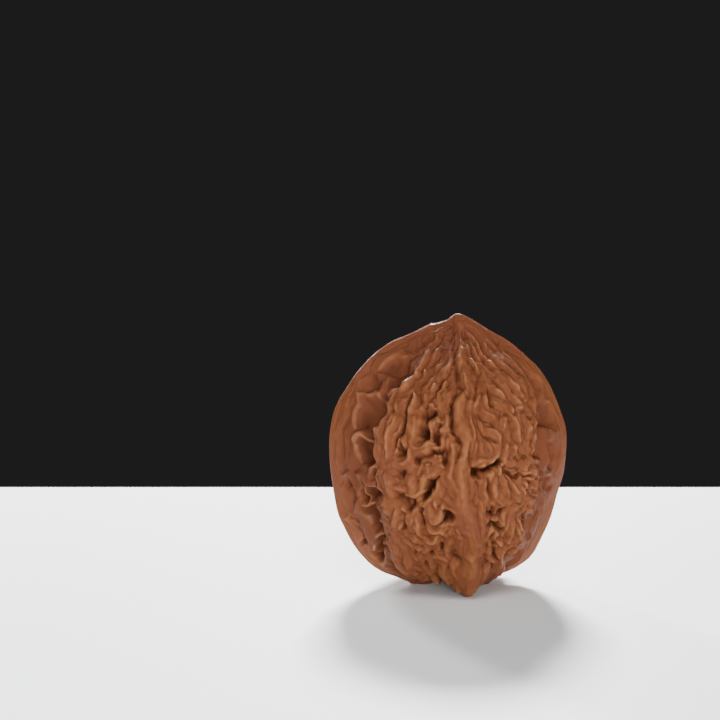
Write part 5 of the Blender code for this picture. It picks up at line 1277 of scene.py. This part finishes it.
# Share of painted shade on the band beside the rim.
BAND_PAINTED_SHADE = 0.88
TIP_PLUM_AND_SHADE_SHARE = 0.42
RUBBED_HIGHLIGHT_SHARE = 0.45
CREASE_PAINTED_SHADE = 0.50
DULL = 0.56
WORN_SMOOTHER = 0.10
FLECK_DULLER = 0.12
THREAD_HEIGHT = 0.7
FLECK_HEIGHT = 0.3
BAND_THREADS_LOST = 0.5
BUMP_METRES = 0.0006
CREST_POLISH = 0.13
EDGE_POLISH = 0.09


def shell_wood(sheet, patches, threads, height):
    """The wood's colour with painted shade and highlight, laid on in layers. A step's two numbers are where
    its layer starts and is full.
    """
    near_by = sheet.stored("near_by")
    crease = 1 - near_by.step(-0.40, -0.06)
    smooth = 1 - near_by.step(0.0, 0.15)
    # Lower places are painted darker as painted shade, and higher ones lighter, partly wear and partly
    # painted highlight.
    wood = sheet.mix(height.step(-1.3, -0.35), PAINTED_HOLLOW_SHADE, DEEP_WOOD)
    wood = sheet.mix(height.step(-0.75, 0.05), wood, RED_WOOD)
    wood = sheet.mix(height.step(-0.05, 0.85), wood, WORN_CREST_AND_HIGHLIGHT)
    wood = sheet.mix(patches.step(0.50, 0.66) * PLUM_SHARE, wood, PLUM)
    wood = sheet.mix(threads.step(0.50, 0.68) * THREAD_SHADE, wood, DEEP_WOOD)
    # The band beside the rim is painted darker: painted shade.
    wood = sheet.mix(sheet.stored("band") * BAND_PAINTED_SHADE, wood, DEEP_WOOD)
    # The tip's lower places are painted a darker plum: partly the shell's own tone, partly painted shade on
    # the upward-facing tip.
    wood = sheet.mix(sheet.stored("tip") * smooth * TIP_PLUM_AND_SHADE_SHARE, wood, TIP_PLUM_AND_SHADE)
    # Thin raised edges are painted lighter: partly rubbed wear, partly painted highlight.
    wood = sheet.mix(near_by.step(0.10, 0.38) * RUBBED_HIGHLIGHT_SHARE, wood, RUBBED_EDGE_HIGHLIGHT)
    # Creases are painted darker: painted shade.
    return sheet.mix(crease * CREASE_PAINTED_SHADE, wood, PAINTED_HOLLOW_SHADE)


def shell_finish():
    sheet = Sheet("polished shell")
    place = sheet.node("ShaderNodeTexCoord", output=3)
    near_by = sheet.stored("near_by")
    further = sheet.stored("further")
    patches = sheet.noise(place, PATCH_MM)
    flecks = sheet.noise(place, FLECK_MM, detail=4.0)
    upward = sheet.node("ShaderNodeSeparateXYZ", None, {"Vector": place}, output=2)
    on_fold = {"X": sheet.stored("strand"), "Y": THREAD_ALONG * upward}
    threads = sheet.noise(sheet.node("ShaderNodeCombineXYZ", None, on_fold), THREAD_MM)
    height = further + NEAR_BY_WEIGHT * near_by
    height = height + PATCH_WEIGHT * (patches - 0.5) + FLECK_WEIGHT * (flecks - 0.5)
    roughness = DULL - WORN_SMOOTHER * height.step(-0.6, 0.5) + FLECK_DULLER * (flecks - 0.5)
    low_in_band = 1 - BAND_THREADS_LOST * sheet.stored("band")
    bump_height = THREAD_HEIGHT * threads * low_in_band + FLECK_HEIGHT * flecks
    bumps = {"Strength": 0.9, "Distance": BUMP_METRES, "Height": bump_height}
    sheet.set(Base_Color=shell_wood(sheet, patches, threads, height), Roughness=roughness)
    sheet.set(Normal=sheet.node("ShaderNodeBump", None, bumps))
    polish = near_by.step(0.05, 0.30) * CREST_POLISH + sheet.stored("edge") * EDGE_POLISH
    sheet.set(Coat_Weight=polish, Coat_Roughness=0.17, Specular_IOR_Level=0.02)
    sheet.set(Subsurface_Weight=0.05, Subsurface_Scale=0.002)
    return sheet.material


shell.data.materials.clear()
shell.data.materials.append(shell_finish())
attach(shell, "root")
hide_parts("walnut")
print("shell's finish has", len(shell.data.materials[0].node_tree.nodes), "nodes")

# %% [markdown]
# ## Floor, light and camera
#
# A polished shape is read from its highlights, so the lights are soft. One stands above and behind, and
# drops the shadow forwards. A strip behind the left shoulder draws a thin bright line on the rim. Two
# wide ones in front, one high and one low, keep the folds readable, and two weak ones fill the sides. The
# pale floor throws light up from below. Its back edge is square to the sight line, so it is level in the
# picture, and behind it the room is dark, so the outline stands out.

# %% Floor
FLOOR_HALF_WIDTH = 0.60
FLOOR_BEHIND = 0.072
FLOOR_IN_FRONT = 0.70
CLOUD_MM = 60.0
GRAIN_MM = 0.8


def floor_finish():
    sheet = Sheet("pale floor")
    place = sheet.node("ShaderNodeTexCoord", output=3)
    cloudy = sheet.noise(place, CLOUD_MM)
    grain = sheet.noise(place, GRAIN_MM)
    pale = sheet.mix(cloudy, colour(0.87, 0.89, 0.90), colour(0.91, 0.93, 0.93))
    sheet.set(Base_Color=pale, Roughness=0.55 + 0.1 * grain)
    return sheet.material


def pale_floor():
    corners = [
        (-FLOOR_HALF_WIDTH, -FLOOR_IN_FRONT, 0.0),
        (FLOOR_HALF_WIDTH, -FLOOR_IN_FRONT, 0.0),
        (FLOOR_HALF_WIDTH, FLOOR_BEHIND, 0.0),
        (-FLOOR_HALF_WIDTH, FLOOR_BEHIND, 0.0),
    ]
    mesh = bpy.data.meshes.new("floor")
    mesh.from_pydata(corners, [], [(0, 1, 2, 3)])
    mesh.materials.append(floor_finish())
    floor = bpy.data.objects.new("floor", mesh)
    floor.rotation_euler.z = -EYE_TURN
    bpy.context.scene.collection.objects.link(floor)
    return floor


pale_floor()
print("floor's back edge is", FLOOR_BEHIND, "m behind the walnut's middle")

# %% Dark room and soft lights
WALNUT_MIDDLE = Vector((0.0, 0.0, 0.022))

world = bpy.data.worlds.new("dark room")
world.use_nodes = True
world.node_tree.nodes["Background"].inputs["Color"].default_value = colour(0.016, 0.016, 0.017)
bpy.context.scene.world = world


def soft_light(name, place, size, power):
    """A rectangle of light, this wide and high in metres, turned towards the walnut."""
    light = bpy.data.lights.new(name, "AREA")
    light.shape = "RECTANGLE"
    light.size, light.size_y = size
    light.energy = power
    lamp = bpy.data.objects.new(name, light)
    lamp.location = place
    lamp.rotation_euler = (WALNUT_MIDDLE - Vector(place)).to_track_quat("-Z", "Y").to_euler()
    bpy.context.scene.collection.objects.link(lamp)


soft_light("light above and behind", (0.05, 0.50, 0.40), (0.14, 0.10), 14.5)
soft_light("strip behind the left shoulder", (-0.20, 0.46, 0.21), (0.05, 0.20), 3.2)
soft_light("light in front", (-0.06, -0.50, 0.66), (0.45, 0.35), 4.3)
soft_light("low light in front", (0.06, -0.70, 0.14), (0.40, 0.12), 5.2)
soft_light("light from the left", (-0.60, -0.25, 0.25), (0.30, 0.40), 0.2)
soft_light("light from the right", (0.60, -0.20, 0.25), (0.30, 0.40), 0.25)
print(len(bpy.data.lights), "soft lights")


# %% The camera
CAMERA_LENS = 120.0
CAMERA_SENSOR = 36.0
CAMERA_NEAREST = 0.01


def photo_camera():
    """The camera at the eye that the card was drawn from."""
    data = bpy.data.cameras.new("camera")
    data.sensor_width = CAMERA_SENSOR
    data.lens = CAMERA_LENS
    data.clip_start = CAMERA_NEAREST
    camera = bpy.data.objects.new("camera", data)
    turn = Matrix((RIGHT, UP, -FORWARD)).transposed().to_4x4()
    camera.matrix_world = Matrix.Translation(EYE * MM + Vector(shift)) @ turn
    bpy.context.scene.collection.objects.link(camera)
    bpy.context.scene.camera = camera
    return camera


print("camera at", [round(c, 3) for c in photo_camera().matrix_world.translation], "m")

# %% [markdown]
